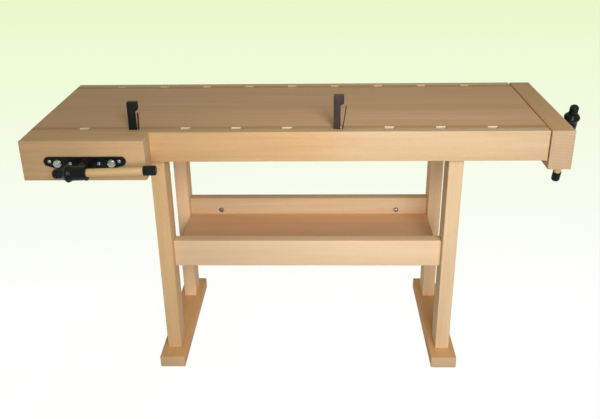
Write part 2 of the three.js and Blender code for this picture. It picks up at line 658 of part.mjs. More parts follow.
// Puts a vise's iron and its handle together, the handle resting with its near cap on the hub's collar.
function addVise(vise, name, jawThickness, handleLength, handleAngle, capNames, rodNames) {
  piece(vise, `${name}_vise_plate`, blackIron, facePlate());
  rodNames.forEach((rod, i) => {
    piece(vise, `${name}_vise_${rod}_rod`, zincSteel, guideRod((i - 0.5) * ROD_SPACING, jawThickness));
  });
  plateScrewPlaces.forEach(([x, y], i) => {
    piece(vise, `${name}_plate_screw_${i + 1}`, zincSteel, plateScrew(x, y));
  });
  piece(vise, `${name}_vise_screw`, zincSteel, viseScrew(jawThickness));

  const grip = new THREE.Group();
  grip.rotation.z = THREE.MathUtils.degToRad(handleAngle);
  vise.add(grip);
  piece(grip, `${name}_vise_hub`, blackIron, viseHub());
  const nearMouth = -HUB_COLLAR_REACH - SEAT_GAP;
  const farMouth = nearMouth - NEAR_CAP_LENGTH + handleLength - FAR_CAP_LENGTH;
  const barStart = nearMouth - NEAR_CAP_LENGTH + CAP_END_THICKNESS + SEAT_GAP;
  const barEnd = farMouth + FAR_CAP_LENGTH - CAP_END_THICKNESS - SEAT_GAP;
  const handle = bar(BAR_RADIUS, [barStart, 0, HUB_STANDOFF], [barEnd, 0, HUB_STANDOFF]);
  piece(grip, `${name}_handle_bar`, turnedBeech, handle);
  const nearCap = endCap(NEAR_CAP_LENGTH, NEAR_CAP_ROUNDING).rotateZ(Math.PI);
  nearCap.translate(nearMouth, 0, HUB_STANDOFF);
  piece(grip, `${name}_handle_${capNames[0]}_cap`, blackPlastic, nearCap);
  const farCap = endCap(FAR_CAP_LENGTH, FAR_CAP_ROUNDING).translate(farMouth, 0, HUB_STANDOFF);
  piece(grip, `${name}_handle_${capNames[1]}_cap`, blackPlastic, farCap);
}
addVise(
  frontVise,
  "front",
  FRONT_JAW_THICKNESS,
  FRONT_HANDLE_LENGTH,
  FRONT_HANDLE_ANGLE,
  ["left", "right"],
  ["left", "right"],
);
addVise(
  endVise,
  "end",
  END_JAW_THICKNESS,
  END_HANDLE_LENGTH,
  END_HANDLE_ANGLE,
  ["upper", "lower"],
  ["front", "rear"],
);

// A fixed nut plate, set against the inner face that lies at a depth behind the jaw's face.
function nutPlate(depth) {
  const half = NUT_PLATE_LENGTH / 2;
  const back = depth - NUT_PLATE_THICKNESS;
  const plate = easedBoard([-half, -NUT_PLATE_HEIGHT / 2, back], [half, NUT_PLATE_HEIGHT / 2, depth]);
  const boss = bar(NUT_BOSS_RADIUS, [0, 0, depth - EDGE_EASE], [0, 0, back - NUT_BOSS_HEIGHT]);
  return join(plate, boss);
}
const frontNutDepth = frontJawFace - stripBack - SEAT_GAP;
const frontNutPlate = nutPlate(frontNutDepth).applyMatrix4(frontVise.matrix);
piece(bench, "front_nut_plate", blackIron, cut(frontNutPlate, frontBores));
const endNutDepth = TOP_LENGTH - END_BOARD_THICKNESS - SEAT_GAP - endJawFace;
const endNutPlate = nutPlate(endNutDepth).applyMatrix4(endVise.matrix);
piece(bench, "end_nut_plate", blackIron, cut(endNutPlate, endBores));

// Bench dogs: a stem with a head that slopes out to the right, drawn with the top of the head at y = 0.
const stemWidth = DOG_HOLE_WIDTH - DOG_CLEARANCE - DOG_SPRING_ROOM;
const dogThickness = DOG_HOLE_DEPTH + SEAT_GAP - 2 * DOG_CLEARANCE;
function dogOutline() {
  const headSide = stemWidth + DOG_HEAD_OVERHANG;
  const shape = new THREE.Shape();
  shape.moveTo(0, -DOG_LENGTH);
  shape.lineTo(stemWidth, -DOG_LENGTH);
  shape.lineTo(stemWidth, -DOG_HEAD_HEIGHT - DOG_HEAD_SLOPE);
  shape.lineTo(headSide, -DOG_HEAD_HEIGHT);
  shape.lineTo(headSide, 0);
  shape.lineTo(0, 0);
  return shape;
}

// A leaf spring's outline: its foot lies on the stem, and its blade bends away up to its lean at the tip.
function springOutline(lean, bow) {
  const start = -DOG_LENGTH + SPRING_START;
  const bladeStart = start + SPRING_FOOT;
  const bladeLength = -SPRING_TIP_DROP - bladeStart;
  const inner = [new THREE.Vector2(stemWidth + SEAT_GAP, start)];
  for (let i = 0; i <= SPRING_STEPS; i += 1) {
    const share = i / SPRING_STEPS;
    const bend = lean * (1 - (1 - share) ** bow);
    inner.push(new THREE.Vector2(stemWidth + SEAT_GAP + bend, bladeStart + share * bladeLength));
  }
  const outer = inner.map((point) => new THREE.Vector2(point.x + SPRING_THICKNESS, point.y)).reverse();
  return new THREE.Shape([...inner, ...outer]);
}

// Stands a flat outline up in its dog hole, with the dog's head raised above the top.
function standInHole(geometry, hole, rise, thickness, inset) {
  const x = dogHoles[hole] - DOG_HOLE_WIDTH / 2 + DOG_CLEARANCE;
  const y = APRON_THICKNESS + DOG_CLEARANCE + inset + thickness;
  return geometry.rotateX(Math.PI / 2).translate(x, y, TOP_HEIGHT + rise);
}

for (const [name, hole, rise, lean, bow] of [
  ["left", LEFT_DOG_HOLE, LEFT_DOG_RISE, LEFT_SPRING_LEAN, LEFT_SPRING_BOW],
  ["middle", MIDDLE_DOG_HOLE, MIDDLE_DOG_RISE, MIDDLE_SPRING_LEAN, MIDDLE_SPRING_BOW],
]) {
  const dog = slab(dogOutline(), dogThickness, DOG_EASE);
  piece(bench, `${name}_dog`, dogIron, standInHole(dog, hole, rise, dogThickness, 0));
  const springWidth = dogThickness - 2 * SPRING_MARGIN;
  const spring = new THREE.ExtrudeGeometry(springOutline(lean, bow), { depth: springWidth, bevelEnabled: false });
  piece(bench, `${name}_dog_spring`, springSteel, standInHole(spring, hole, rise, springWidth, SPRING_MARGIN));
}

export default workbench;
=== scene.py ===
"""Looks of a joiner's workbench with a front vise, an end vise and two dogs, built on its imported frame."""
import json
import math

import bmesh
import bpy
import numpy as np
from mathutils import Matrix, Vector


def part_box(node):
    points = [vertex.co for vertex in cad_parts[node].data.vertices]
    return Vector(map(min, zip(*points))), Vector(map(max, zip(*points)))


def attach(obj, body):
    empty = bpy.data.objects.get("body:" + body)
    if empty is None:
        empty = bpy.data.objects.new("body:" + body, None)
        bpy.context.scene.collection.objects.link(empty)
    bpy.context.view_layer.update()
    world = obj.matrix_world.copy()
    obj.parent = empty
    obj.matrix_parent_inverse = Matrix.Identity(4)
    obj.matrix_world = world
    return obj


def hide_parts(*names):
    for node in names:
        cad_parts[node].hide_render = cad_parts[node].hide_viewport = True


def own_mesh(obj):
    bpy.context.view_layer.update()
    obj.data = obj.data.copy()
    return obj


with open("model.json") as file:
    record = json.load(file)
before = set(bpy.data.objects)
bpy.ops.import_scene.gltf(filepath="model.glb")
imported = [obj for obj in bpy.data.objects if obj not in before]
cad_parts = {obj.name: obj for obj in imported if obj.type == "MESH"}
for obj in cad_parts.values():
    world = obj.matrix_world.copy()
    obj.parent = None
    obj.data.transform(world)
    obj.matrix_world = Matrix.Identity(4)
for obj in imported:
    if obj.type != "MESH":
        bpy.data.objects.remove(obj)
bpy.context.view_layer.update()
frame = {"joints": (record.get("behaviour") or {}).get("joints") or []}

# Sizes of the pieces are in millimetres, as in the solids, and go into the scene times MM. GAP is the air
# between pieces that touch, and BORE_PLAY what a bore's radius has over its rod's.
MM = 0.001
GAP = 0.3
BORE_PLAY = 0.6

# Meshes: points nearer than this, in metres, are one, and edges bent by more than this angle stay sharp
WELD = 2e-6
SHARP = math.radians(38)

# Face plates, with their bosses and slotted screws: places are from the vise screw's axis
PLATE_HALF, PLATE_RISE, PLATE_DROP, PLATE_THICK, PLATE_END = 125.5, 24, 27, 8, 15
PLATE_BEND, PLATE_BELLY, PLATE_CURVE, PLATE_EASE = (74, -17), 32, 14, 2.2
PLATE_SCREWS = ((-106, 11), (-43.5, 4), (43.5, 4), (106, 11))
PLATE_SCREW_RADIUS, PLATE_SCREW_POINT, PLATE_SCREW_TAPER, PLATE_SCREW_TIP = 2.5, 1, -27, -32
PLATE_HEAD_RADIUS, PLATE_HEAD_HEIGHT, PLATE_HEAD_SLOT, PLATE_HEAD_LIFT = 5, 2.6, 0.8, 0.1
BOSS_RADIUS, BOSS_FOOT, BOSS_BACK, BOSS_FACE, BOSS_FILLET, BOSS_EASE = 20, 22, 4, 20.3, 3, 2

# Guide rods, with hexagon heads on washers
ROD_RADIUS, ROD_OFFSET, ROD_RISE, ROD_REACH, ROD_CHAMFER = 9, 82.5, 4.5, 320, 1.5
ROD_FLATS, ROD_HEAD, ROD_WASHER, ROD_WASHER_THICK, ROD_WASHER_EASE = 20.8, 8, 12, 1.6, 0.5
ROD_BUTTON = ((0, 0), (6, 0), (5.2, 0.7), (0, 0.9))

# Vise screws, with the ring let into the jaw, the thrust collar and the spigot in the hub
SCREW_RADIUS, SCREW_LEAD, SCREW_REACH, SCREW_CHAMFER, THREAD_DEPTH = 10, 6, 300, 2, 1.9
RING_RADIUS, RING_THICK, RUNOUT_START, RUNOUT_END = 15, 6, 8, 6
COLLAR_RADIUS, COLLAR_BACK, COLLAR_FACE, COLLAR_EASE = 17, 20.6, 26.6, 1
SPIGOT_RADIUS, SPIGOT_END = 9, 54

# Hubs: the ridge of the heavy collar lies between two slopes, at places from the left end
HUB_HEIGHT, HUB_LEFT, HUB_RIGHT = 77, 45, 27
HUB_RADIUS, HUB_MOUTH, HUB_COLLAR, HUB_EASE = 22, 16, 27, 2.2
RIDGE_START, RIDGE_END, SLOPE_END = 13, 18, 28
LIP_HEIGHT, LIP_WIDTH, LIP_START = 1.5, 4, 8
NECK_RADIUS, NECK_OVAL, NECK_TOP, NECK_CURVE, NECK_SINK, NECK_RIM = 16, (20, 20.5), 32, 9, 0.4, 1

# Handles, and the thickness of the jaws that they stand before
BAR_RADIUS = 12.2
CAP_RADIUS, CAP_END, NEAR_CAP, FAR_CAP, NEAR_DOME, FAR_DOME = 15, 10, 31, 38, 11, 5
CAP_RIM = ((-1.2, 0), (-0.3, 0.4), (0, 1.2))
JAW_THICK = {"front": 79, "end": 72}
HANDLE_LENGTH = {"front": 309, "end": 322}
HANDLE_ANGLE = {"front": math.radians(2.0), "end": math.radians(-72.7)}
HANDLE_SEED = {"front": 35, "end": 33}

# Nut plates, with a threaded boss and four hexagon wood screws
NUT_HALF, NUT_RISE, NUT_THICK, NUT_CORNER, NUT_EASE = 105, 24, 16, 12, 1.8
NUT_BORE, NUT_BOSS, NUT_BOSS_LENGTH, NUT_BOSS_EASE = 11, 20, 18, 2
NUT_BOSS_FOOT = ((6, 4), (5, 0), (0, -3))
LAG_PLACES = ((-56, -14), (-56, 14), (56, -14), (56, 14))
LAG_FLATS, LAG_HEAD = 11, 5

# Trestle fasteners
BOLT_RADIUS, BOLT_LENGTH, BOLT_CHAMFER, BOLT_FLATS, BOLT_HEAD, TOP_BOLT_LENGTH = 5, 180, 1, 15.6, 6, 84
WASHER_RADIUS, TOP_WASHER_RADIUS, WASHER_THICK, WASHER_EASE = 11, 13, 1.5, 0.4
DRUM_RADIUS, DRUM_LENGTH, DRUM_CHAMFER, DRUM_BORE, DRUM_BORE_DEPTH, DRUM_BORE_FRONT = 9.5, 28, 1, 9.9, 29, 4
DRUM_RIM = ((0, -0.8), (-0.6, 0), (-1.3, 0))
DRUM_FACE_RADIUS, DRUM_FACE_HEIGHT, DRUM_SLOT = 8.4, 1.2, 1.3

# Dog holes, and dogs with their springs: heights are from the top of the dog's head
HOLE_WIDTH, HOLE_DEPTH, HOLE_PITCH, HOLE_COUNT, STRIP_EASE = 31, 21, 160, 9, 0.4
STEM, HEAD, HEAD_SIDE, HEAD_FOOT, DOG_FOOT, DOG_CORNER, DOG_EASE = 21.5, 32, -26, -32, -176, 2.4, 1.2
LEAF, LEAF_MARGIN, BLADE_FOOT, BLADE_LENGTH = 2, 3, -142, 106
LEAF_FOOT, RIVETS = (-156, -149), (-152, -146)
RIVET = ((0, -1), (2.6, -1), (2.6, 0.2), (1.9, 1), (0, 1.3))


# Shapes: each is an array of points and a list of faces

def grid(points, close_rows=False):
    """Quads over a grid of points, (rows, columns, 3), whose columns close on themselves, and its rows if
    asked."""
    rows, cols = points.shape[:2]
    i, j = np.meshgrid(np.arange(rows if close_rows else rows - 1), np.arange(cols), indexing="ij")
    k, m = (i + 1) % rows, (j + 1) % cols
    quads = np.stack([i * cols + j, i * cols + m, k * cols + m, k * cols + j], -1).reshape(-1, 4)
    return points.reshape(-1, 3), quads.tolist()


def capped(points, ring):
    """Quads over a grid of points, and a face each over the points in its first and last rows that ring
    numbers."""
    spots, faces = grid(points)
    last = len(spots) - points.shape[1]
    return spots, faces + [ring[::-1], [last + k for k in ring]]


def joined(*shapes):
    """Several shapes as one, their faces counted on from each other's points."""
    starts = np.cumsum([0] + [len(points) for points, _ in shapes])
    faces = [[index + start for index in face] for (_, some), start in zip(shapes, starts) for face in some]
    return np.concatenate([points for points, _ in shapes]), faces


def soften(line, radius, steps=4, closed=False):
    """A polyline with each corner replaced by a parabola between the points a radius before and after it."""
    line = np.asarray(line, float)
    before, after = np.roll(line, 1, 0) - line, np.roll(line, -1, 0) - line
    reach = np.minimum(np.linalg.norm(before, axis=1), np.linalg.norm(after, axis=1)) * 0.48
    reach = np.minimum(reach, radius)[:, None]
    start = line + before / np.linalg.norm(before, axis=1)[:, None] * reach
    end = line + after / np.linalg.norm(after, axis=1)[:, None] * reach
    t = np.linspace(0, 1, steps + 1)[None, :, None]
    curve = (1 - t) ** 2 * start[:, None] + 2 * t * (1 - t) * line[:, None] + t ** 2 * end[:, None]
    if closed:
        return curve.reshape(-1, line.shape[1])
    return np.concatenate([line[:1], curve[1:-1].reshape(-1, line.shape[1]), line[-1:]])


def board(low, high, ease, steps=3):
    """A board with round edges: each point is the inner corner of its octant, plus a sphere's radius in its
    direction."""
    low, high = np.asarray(low, float) + ease, np.asarray(high, float) - ease
    quarter = np.linspace(0, math.pi / 2, steps + 1)
    lat = np.concatenate([quarter - math.pi / 2, quarter])[:, None]
    lon = np.concatenate([quarter + k * math.pi / 2 for k in range(4)])[None, :]
    upper = np.repeat([False, True], steps + 1)[:, None] | np.zeros(lon.shape, bool)
    right = np.repeat([True, False, False, True], steps + 1)[None, :] & np.ones(lat.shape, bool)
    back = np.repeat([True, True, False, False], steps + 1)[None, :] & np.ones(lat.shape, bool)
    points = np.stack([
        np.where(right, high[0], low[0]) + ease * np.cos(lat) * np.cos(lon),
        np.where(back, high[1], low[1]) + ease * np.cos(lat) * np.sin(lon),
        np.where(upper, high[2], low[2]) + ease * np.sin(lat) * np.ones(lon.shape),
    ], -1)
    return capped(points, [k * (steps + 1) for k in range(4)])


def slab(outline, low, high, ease, steps=3):
    """A flat outline carried from z low to z high, drawn in along its own normals by a quarter circle at both
    rims."""
    outline = np.asarray(outline, float)
    ahead, behind = np.roll(outline, -1, 0) - outline, outline - np.roll(outline, 1, 0)
    ahead, behind = (v / np.linalg.norm(v, axis=1)[:, None] for v in (ahead, behind))
    inward = np.stack([-ahead[:, 1] - behind[:, 1], ahead[:, 0] + behind[:, 0]], -1)
    inward /= np.maximum((inward * np.stack([-ahead[:, 1], ahead[:, 0]], -1)).sum(1), 0.2)[:, None]
    quarter = np.linspace(0, math.pi / 2, steps + 1)
    inset = ease * np.concatenate([1 - np.sin(quarter), 1 - np.cos(quarter)])
    height = np.concatenate([low + ease * (1 - np.cos(quarter)), high - ease + ease * np.sin(quarter)])
    flat = outline[None] + inward[None] * inset[:, None, None]
    level = np.broadcast_to(height[:, None, None], flat.shape[:2] + (1,))
    return capped(np.concatenate([flat, level], -1), list(range(len(outline))))


def turned(profile, sides=48, close=False):
    """A turned piece about z: each (radius, height) of the profile is carried round a circle."""
    profile = np.asarray(profile, float)
    angle = np.linspace(0, 2 * math.pi, sides, endpoint=False)
    radius, height = profile[:, :1], profile[:, 1:]
    return grid(np.stack([radius * np.cos(angle), radius * np.sin(angle), height + 0 * angle], -1), close)


def rod(radius, low, high, chamfer, sides):
    """A round rod about z, turned from a profile with a chamfer at its lower end."""
    profile = [(0, low), (radius - chamfer, low), (radius, low + chamfer), (radius, high), (0, high)]
    return turned(profile, sides)


def washer(radius, low, thick, ease):
    """A washer about z, turned from a rectangle with softened outer corners; a shank fills its middle."""
    return turned(soften([(0, low), (radius, low), (radius, low + thick), (0, low + thick)], ease, 3), 48)


def hexagon_head(flats, low, high, sides=72):
    """A hexagon head: the radius is half the flats over the cosine of the angle from a flat, and a cone takes
    the corners."""
    angle = np.linspace(0, 2 * math.pi, sides, endpoint=False)
    level = 0 * angle
    rim = flats / 2 / np.cos(angle % (math.pi / 3) - math.pi / 6)
    inner, middle = flats * 0.47, flats * 0.4
    crown = high - (rim - inner) * 0.55
    rows = [(level, low + level), (rim, low + level), (rim, crown), (inner + level, high + level),
            (middle + level, high + level), (level, high + level)]
    return grid(np.array([np.stack([r * np.cos(angle), r * np.sin(angle), z], -1) for r, z in rows]))


def slotted_head(radius, height, slot, sides=48, rings=14):
    """A pan head: its height falls off as a root of the radius, less a slot's depth where it lies across the
    middle."""
    angle = np.linspace(0, 2 * math.pi, sides, endpoint=False)[None]
    share = np.linspace(0, 1, rings)[:, None]
    x, y = radius * share * np.cos(angle), radius * share * np.sin(angle)
    z = height * np.sqrt(np.maximum(1 - 0.75 * share ** 3, 0)) * np.ones(angle.shape)
    z = z - 0.6 * height * np.clip((slot - np.abs(x)) / (0.4 * slot), 0, 1)
    top = np.stack([x, y, np.maximum(z, 0.15 * height)], -1)
    foot = np.stack([radius * np.cos(angle), radius * np.sin(angle), 0 * angle], -1)
    return grid(np.concatenate([top, foot, foot * 0]))


def screw_thread(radius, lead, low, high, sides=32):
    """A trapezoid thread: a profile of root, flank, crest and flank carried along a helix, running out at
    both ends."""
    turns = (high - low) / lead - 1
    angle = np.linspace(0, 2 * math.pi * turns, int(turns * sides) + 1)[:, None]
    share = np.array([[0, 0.18, 0.34, 0.68, 0.84, 1]])
    crest = np.array([[0, 0, 1, 1, 0, 0]])
    fade = np.clip(np.minimum(angle, angle[-1] - angle) / 3, 0, 1)
    r = radius - THREAD_DEPTH + THREAD_DEPTH * crest * fade - 0.05 * (1 - fade)
    z = low + lead * (angle / (2 * math.pi) + share)
    points = np.stack([r * np.cos(angle), r * np.sin(angle), z], -1)
    rows, cols = r.shape
    i, j = np.meshgrid(np.arange(rows - 1), np.arange(cols - 1), indexing="ij")
    k = i * cols + j
    return points.reshape(-1, 3), np.stack([k, k + cols, k + cols + 1, k + 1], -1).reshape(-1, 4).tolist()


def ribbon(path, across, thick, wide):
    """A flat strip with round edges: a softened rectangle carried along a path, one side along `across`."""
    path, across = np.asarray(path, float), np.asarray(across, float)
    run = np.gradient(path, axis=0)
    run /= np.linalg.norm(run, axis=1)[:, None]
    face = np.cross(across, run)
    half = np.array([[-1, -1], [1, -1], [1, 1], [-1, 1]]) * np.array([thick, wide]) / 2
    section = soften(half, thick * 0.4, 3, closed=True)
    points = path[:, None] + section[None, :, :1] * face[:, None] + section[None, :, 1:] * across
    return capped(points, list(range(len(section))))


def shift(shape, move):
    """The shape moved by a vector."""
    return shape[0] + np.asarray(move, float), shape[1]


def lay(shape, axis):
    """A shape about z laid along another axis of its own frame: z goes to `axis`, and the frame stays
    right-handed."""
    turn = {"x": [[0, 1, 0], [0, 0, 1], [1, 0, 0]], "-x": [[0, -1, 0], [0, 0, 1], [-1, 0, 0]],
            "y": [[0, 0, 1], [1, 0, 0], [0, 1, 0]], "-y": [[0, 0, 1], [-1, 0, 0], [0, -1, 0]],
            "-z": [[-1, 0, 0], [0, 1, 0], [0, 0, -1]]}[axis]
    return shape[0] @ np.array(turn, float), shape[1]


def placed(shape, origin, axes=((1, 0, 0), (0, 1, 0), (0, 0, 1))):
    """A shape in millimetres in a local frame, put into the bench's frame in metres."""
    return np.asarray(origin) + (shape[0] * MM) @ np.asarray(axes, float), shape[1]


# Pieces in the scene

def welded(name, shape):
    """The shape as a mesh, with points in one place merged, so that seams and poles close, and normals
    outwards."""
    mesh = bpy.data.meshes.new(name)
    mesh.from_pydata(shape[0].tolist(), [], shape[1])
    work = bmesh.new()
    work.from_mesh(mesh)
    bmesh.ops.remove_doubles(work, verts=work.verts, dist=WELD)
    bmesh.ops.recalc_face_normals(work, faces=work.faces)
    work.to_mesh(mesh)
    work.free()
    return mesh


def put(name, data):
    """A new object in the scene, at the origin."""
    thing = bpy.data.objects.new(name, data)
    bpy.context.scene.collection.objects.link(thing)
    return thing


def show(name, body, material, shape, slot, *nodes):
    """A piece of the bench: the shape as a closed mesh, riding a body and standing for the named nodes."""
    mesh = welded(name, shape)
    mesh.shade_smooth()
    mesh.set_sharp_from_angle(angle=SHARP)
    mesh.materials.append(material)
    piece = put(name, mesh)
    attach(piece, body)
    if nodes:
        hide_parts(*nodes)
    return piece


def bore(piece, holes):
    """Takes round bores, each a radius and two end points in metres, out of a piece with a Boolean cut."""
    shapes = []
    for radius, start, end in holes:
        length = np.linalg.norm(end - start)
        z = (end - start) / length
        x = np.cross(z, (0.0, 0.6, 0.8) if abs(z[0]) > 0.5 else (1.0, 0.0, 0.0))
        x /= np.linalg.norm(x)
        drill = turned([(0, 0), (radius, 0), (radius, length), (0, length)], 40)
        shapes.append((start + drill[0] @ np.array([x, np.cross(z, x), z]), drill[1]))
    cutter = put("bores", welded("bores", joined(*shapes)))
    cut = piece.modifiers.new("bores", "BOOLEAN")
    cut.operation, cut.solver, cut.object = "DIFFERENCE", "EXACT", cutter
    result = bpy.data.meshes.new_from_object(piece.evaluated_get(bpy.context.evaluated_depsgraph_get()))
    piece.modifiers.clear()
    result.set_sharp_from_angle(angle=SHARP)
    piece.data = result
    bpy.data.objects.remove(cutter)


# Finishes. In the nodes, sockets 1 to 4 of a range are the ends of what it reads and of what it gives, and
# sockets 6 and 7 of a mix are its two colours, which its output 2 gives mixed.
PLACE, NOISE, MIX = "ShaderNodeTexCoord", "ShaderNodeTexNoise", "ShaderNodeMix"
MATH, VECTOR, RANGE = "ShaderNodeMath", "ShaderNodeVectorMath", "ShaderNodeMapRange"


def srgb(code):
    """An sRGB hex colour as linear red, green, blue and alpha."""
    value = np.array([int(code[i:i + 2], 16) for i in (0, 2, 4)]) / 255
    return (*np.where(value <= 0.04045, value / 12.92, ((value + 0.055) / 1.055) ** 2.4).tolist(), 1.0)


def add(tree, kind, sockets=None, **settings):
    """Adds a node with its settings; each socket gets a number or a colour, or a link from another node's
    output."""
    node = tree.nodes.new(kind)
    for key, value in settings.items():
        setattr(node, key, value)
    for key, value in (sockets or {}).items():
        if isinstance(value, bpy.types.NodeSocket):
            tree.links.new(value, node.inputs[key])
        else:
            node.inputs[key].default_value = value
    return node


def finish_of(name, **sockets):
    """A new material and its tree and shader, with constants set on the shader's own sockets."""
    material = bpy.data.materials.new(name)
    material.use_nodes = True
    shader = material.node_tree.nodes["Principled BSDF"]
    for key, value in sockets.items():
        shader.inputs[key.replace("_", " ")].default_value = value
    return material, material.node_tree, shader


def coat(tree, shader, color, rough, height, strength, depth):
    """Links a colour, a roughness and a relief, whose depth is in metres, to the shader."""
    bump = add(tree, "ShaderNodeBump", {"Strength": strength, "Distance": depth, "Height": height})
    for key, output in (("Base Color", color), ("Roughness", rough), ("Normal", bump.outputs[0])):
        tree.links.new(output, shader.inputs[key])


# The way of the grain along an axis or a handle bar, and the turn that brings it to X
GRAIN_WAY = {
    "X": (1, 0, 0), "Y": (0, 1, 0), "Z": (0, 0, 1),
    "front": (math.cos(HANDLE_ANGLE["front"]), 0, math.sin(HANDLE_ANGLE["front"])),
    "end": (0, math.cos(HANDLE_ANGLE["end"]), math.sin(HANDLE_ANGLE["end"])),
}
GRAIN_TURN = {
    "X": (0, 0, 0), "Y": (0, 0, -math.pi / 2), "Z": (0, math.pi / 2, 0),
    "front": (0, HANDLE_ANGLE["front"], 0), "end": (-HANDLE_ANGLE["end"], 0, -math.pi / 2),
}
# A board that isn't glued up counts as one stave, wider than any board.
ONE_STAVE = 10.0
# Noise per metre along and across the grain: streaks about 16 mm wide and 0.4 m long, pores about
# 1.2 x 25 mm, and flecks about 1 x 7 mm, drawn twice as large as real ones so that they show
STRETCH = {"broad": (1.3, 7, 7), "streak": (2.4, 60, 60), "pore": (40, 850, 850), "fleck": (140, 1000, 1000)}


def beech(name, grain, seed, light="EFCDA2", dark="DDB284", stave=ONE_STAVE, sheen=0.6, painted_falloff=None):
    """Steamed beech, planed, sanded and oiled: a warm pale tan with soft streaks along the grain, short brown
    flecks, and greyer end grain with arcs of growth rings. `stave` is the width in metres of the glued
    staves, and `painted_falloff` the two places along the bench between which a painted shade, a darker
    warm tint over the board's left end, fades out."""
    material, tree, shader = finish_of(name, IOR=1.5, Specular_IOR_Level=0.25)
    place = add(tree, PLACE)
    along = add(tree, "ShaderNodeMapping", {"Vector": place.outputs["Object"], "Rotation": GRAIN_TURN[grain]})
    vector = along.outputs[0]
    apart = add(tree, "ShaderNodeSeparateXYZ", {0: vector})
    # Each stave is a strip of another tree: its number picks its own tone and its own stretch of grain.
    number = add(tree, MATH, {0: apart.outputs[1], 1: stave}, operation="DIVIDE")
    number = add(tree, MATH, {0: number.outputs[0], 1: 0.37 + seed * 3.0}, operation="ADD")
    number = add(tree, MATH, {0: number.outputs[0]}, operation="FLOOR")
    chance = add(tree, "ShaderNodeTexWhiteNoise", {"W": number.outputs[0]}, noise_dimensions="1D")
    jump = add(tree, VECTOR, {0: chance.outputs["Color"], 1: (5.0, 0.7, 0.9)}, operation="MULTIPLY")
    vector = add(tree, VECTOR, {0: vector, 1: jump.outputs[0]}, operation="ADD").outputs[0]
    noise = {}
    for key, scale in STRETCH.items():
        scaled = add(tree, VECTOR, {0: vector, 1: scale}, operation="MULTIPLY")
        noise[key] = add(tree, NOISE, {"Vector": scaled.outputs[0], "Scale": 1.0, "Detail": 4.0,
                                       "Roughness": 0.55, "Distortion": 0.25}).outputs[0]
    streak = add(tree, RANGE, {0: noise["streak"], 1: 0.3, 2: 0.72, 3: 0.0, 4: 0.5})
    pore = add(tree, RANGE, {0: noise["pore"], 1: 0.35, 2: 0.75, 3: 0.0, 4: 0.3})
    late = add(tree, MATH, {0: streak.outputs[0], 1: pore.outputs[0]}, operation="ADD")
    color = add(tree, MIX, {0: late.outputs[0], 6: srgb(light), 7: srgb(dark)}, data_type="RGBA")
    fleck = add(tree, RANGE, {0: noise["fleck"], 1: 0.6, 2: 0.7, 3: 0.0, 4: 0.34})
    color = add(tree, MIX, {0: fleck.outputs[0], 6: color.outputs[2], 7: srgb("A9784C")}, data_type="RGBA")
    # Painted shade: the board's left end is darkened by a warm tint, for light that falls off to the left
    if painted_falloff:
        where = add(tree, "ShaderNodeSeparateXYZ", {0: place.outputs["Object"]})
        shaded_end = add(tree, RANGE, {0: where.outputs[0], 1: painted_falloff[0], 2: painted_falloff[1], 3: 1.0, 4: 0.0},
                     interpolation_type="SMOOTHSTEP")
        color = add(tree, MIX, {0: shaded_end.outputs[0], 6: color.outputs[2], 7: srgb("FFF3DF")},
                    data_type="RGBA", blend_type="MULTIPLY")
    # End grain is greyer where dirt has settled in its open pores, with rings about 5 mm apart round a heart
    # that lies outside the board.
    facing = add(tree, VECTOR, {0: place.outputs["Normal"], 1: GRAIN_WAY[grain]}, operation="DOT_PRODUCT")
    facing = add(tree, MATH, {0: facing.outputs["Value"]}, operation="ABSOLUTE")
    ends = add(tree, RANGE, {0: facing.outputs[0], 1: 0.72, 2: 0.95, 3: 0.0, 4: 0.75})
    heart = add(tree, "ShaderNodeMapping", {"Vector": vector, "Location": (0, 0.06 + 0.02 * seed, 0.11),
                                            "Scale": (0, 1, 1)})
    rings = add(tree, "ShaderNodeTexWave", {"Vector": heart.outputs[0], "Scale": 31.0, "Distortion": 1.2,
                                            "Detail": 2.0, "Detail Scale": 1.5},
                wave_type="RINGS", rings_direction="X")
    ringed = add(tree, MIX, {0: rings.outputs["Fac"], 6: srgb("D4B999"), 7: srgb("CDB18F")}, data_type="RGBA")
    color = add(tree, MIX, {0: ends.outputs[0], 6: color.outputs[2], 7: ringed.outputs[2]}, data_type="RGBA")
    # The tone drifts over a hand's breadth, and from stave to stave.
    drift = add(tree, RANGE, {0: noise["broad"], 1: 0.25, 2: 0.75, 3: 0.94, 4: 1.05})
    lot = add(tree, RANGE, {0: chance.outputs["Value"], 1: 0.0, 2: 1.0, 3: 0.95, 4: 1.03})
    tone = add(tree, MATH, {0: drift.outputs[0], 1: lot.outputs[0]}, operation="MULTIPLY")
    color = add(tree, VECTOR, {0: color.outputs[2], 3: tone.outputs[0]}, operation="SCALE")
    rough = add(tree, RANGE, {0: noise["pore"], 1: 0.3, 2: 0.8, 3: sheen, 4: sheen + 0.16})
    relief = add(tree, MATH, {0: noise["pore"], 1: fleck.outputs[0]}, operation="SUBTRACT")
    coat(tree, shader, color.outputs[0], rough.outputs[0], relief.outputs[0], 0.12, 0.0004)
    return material


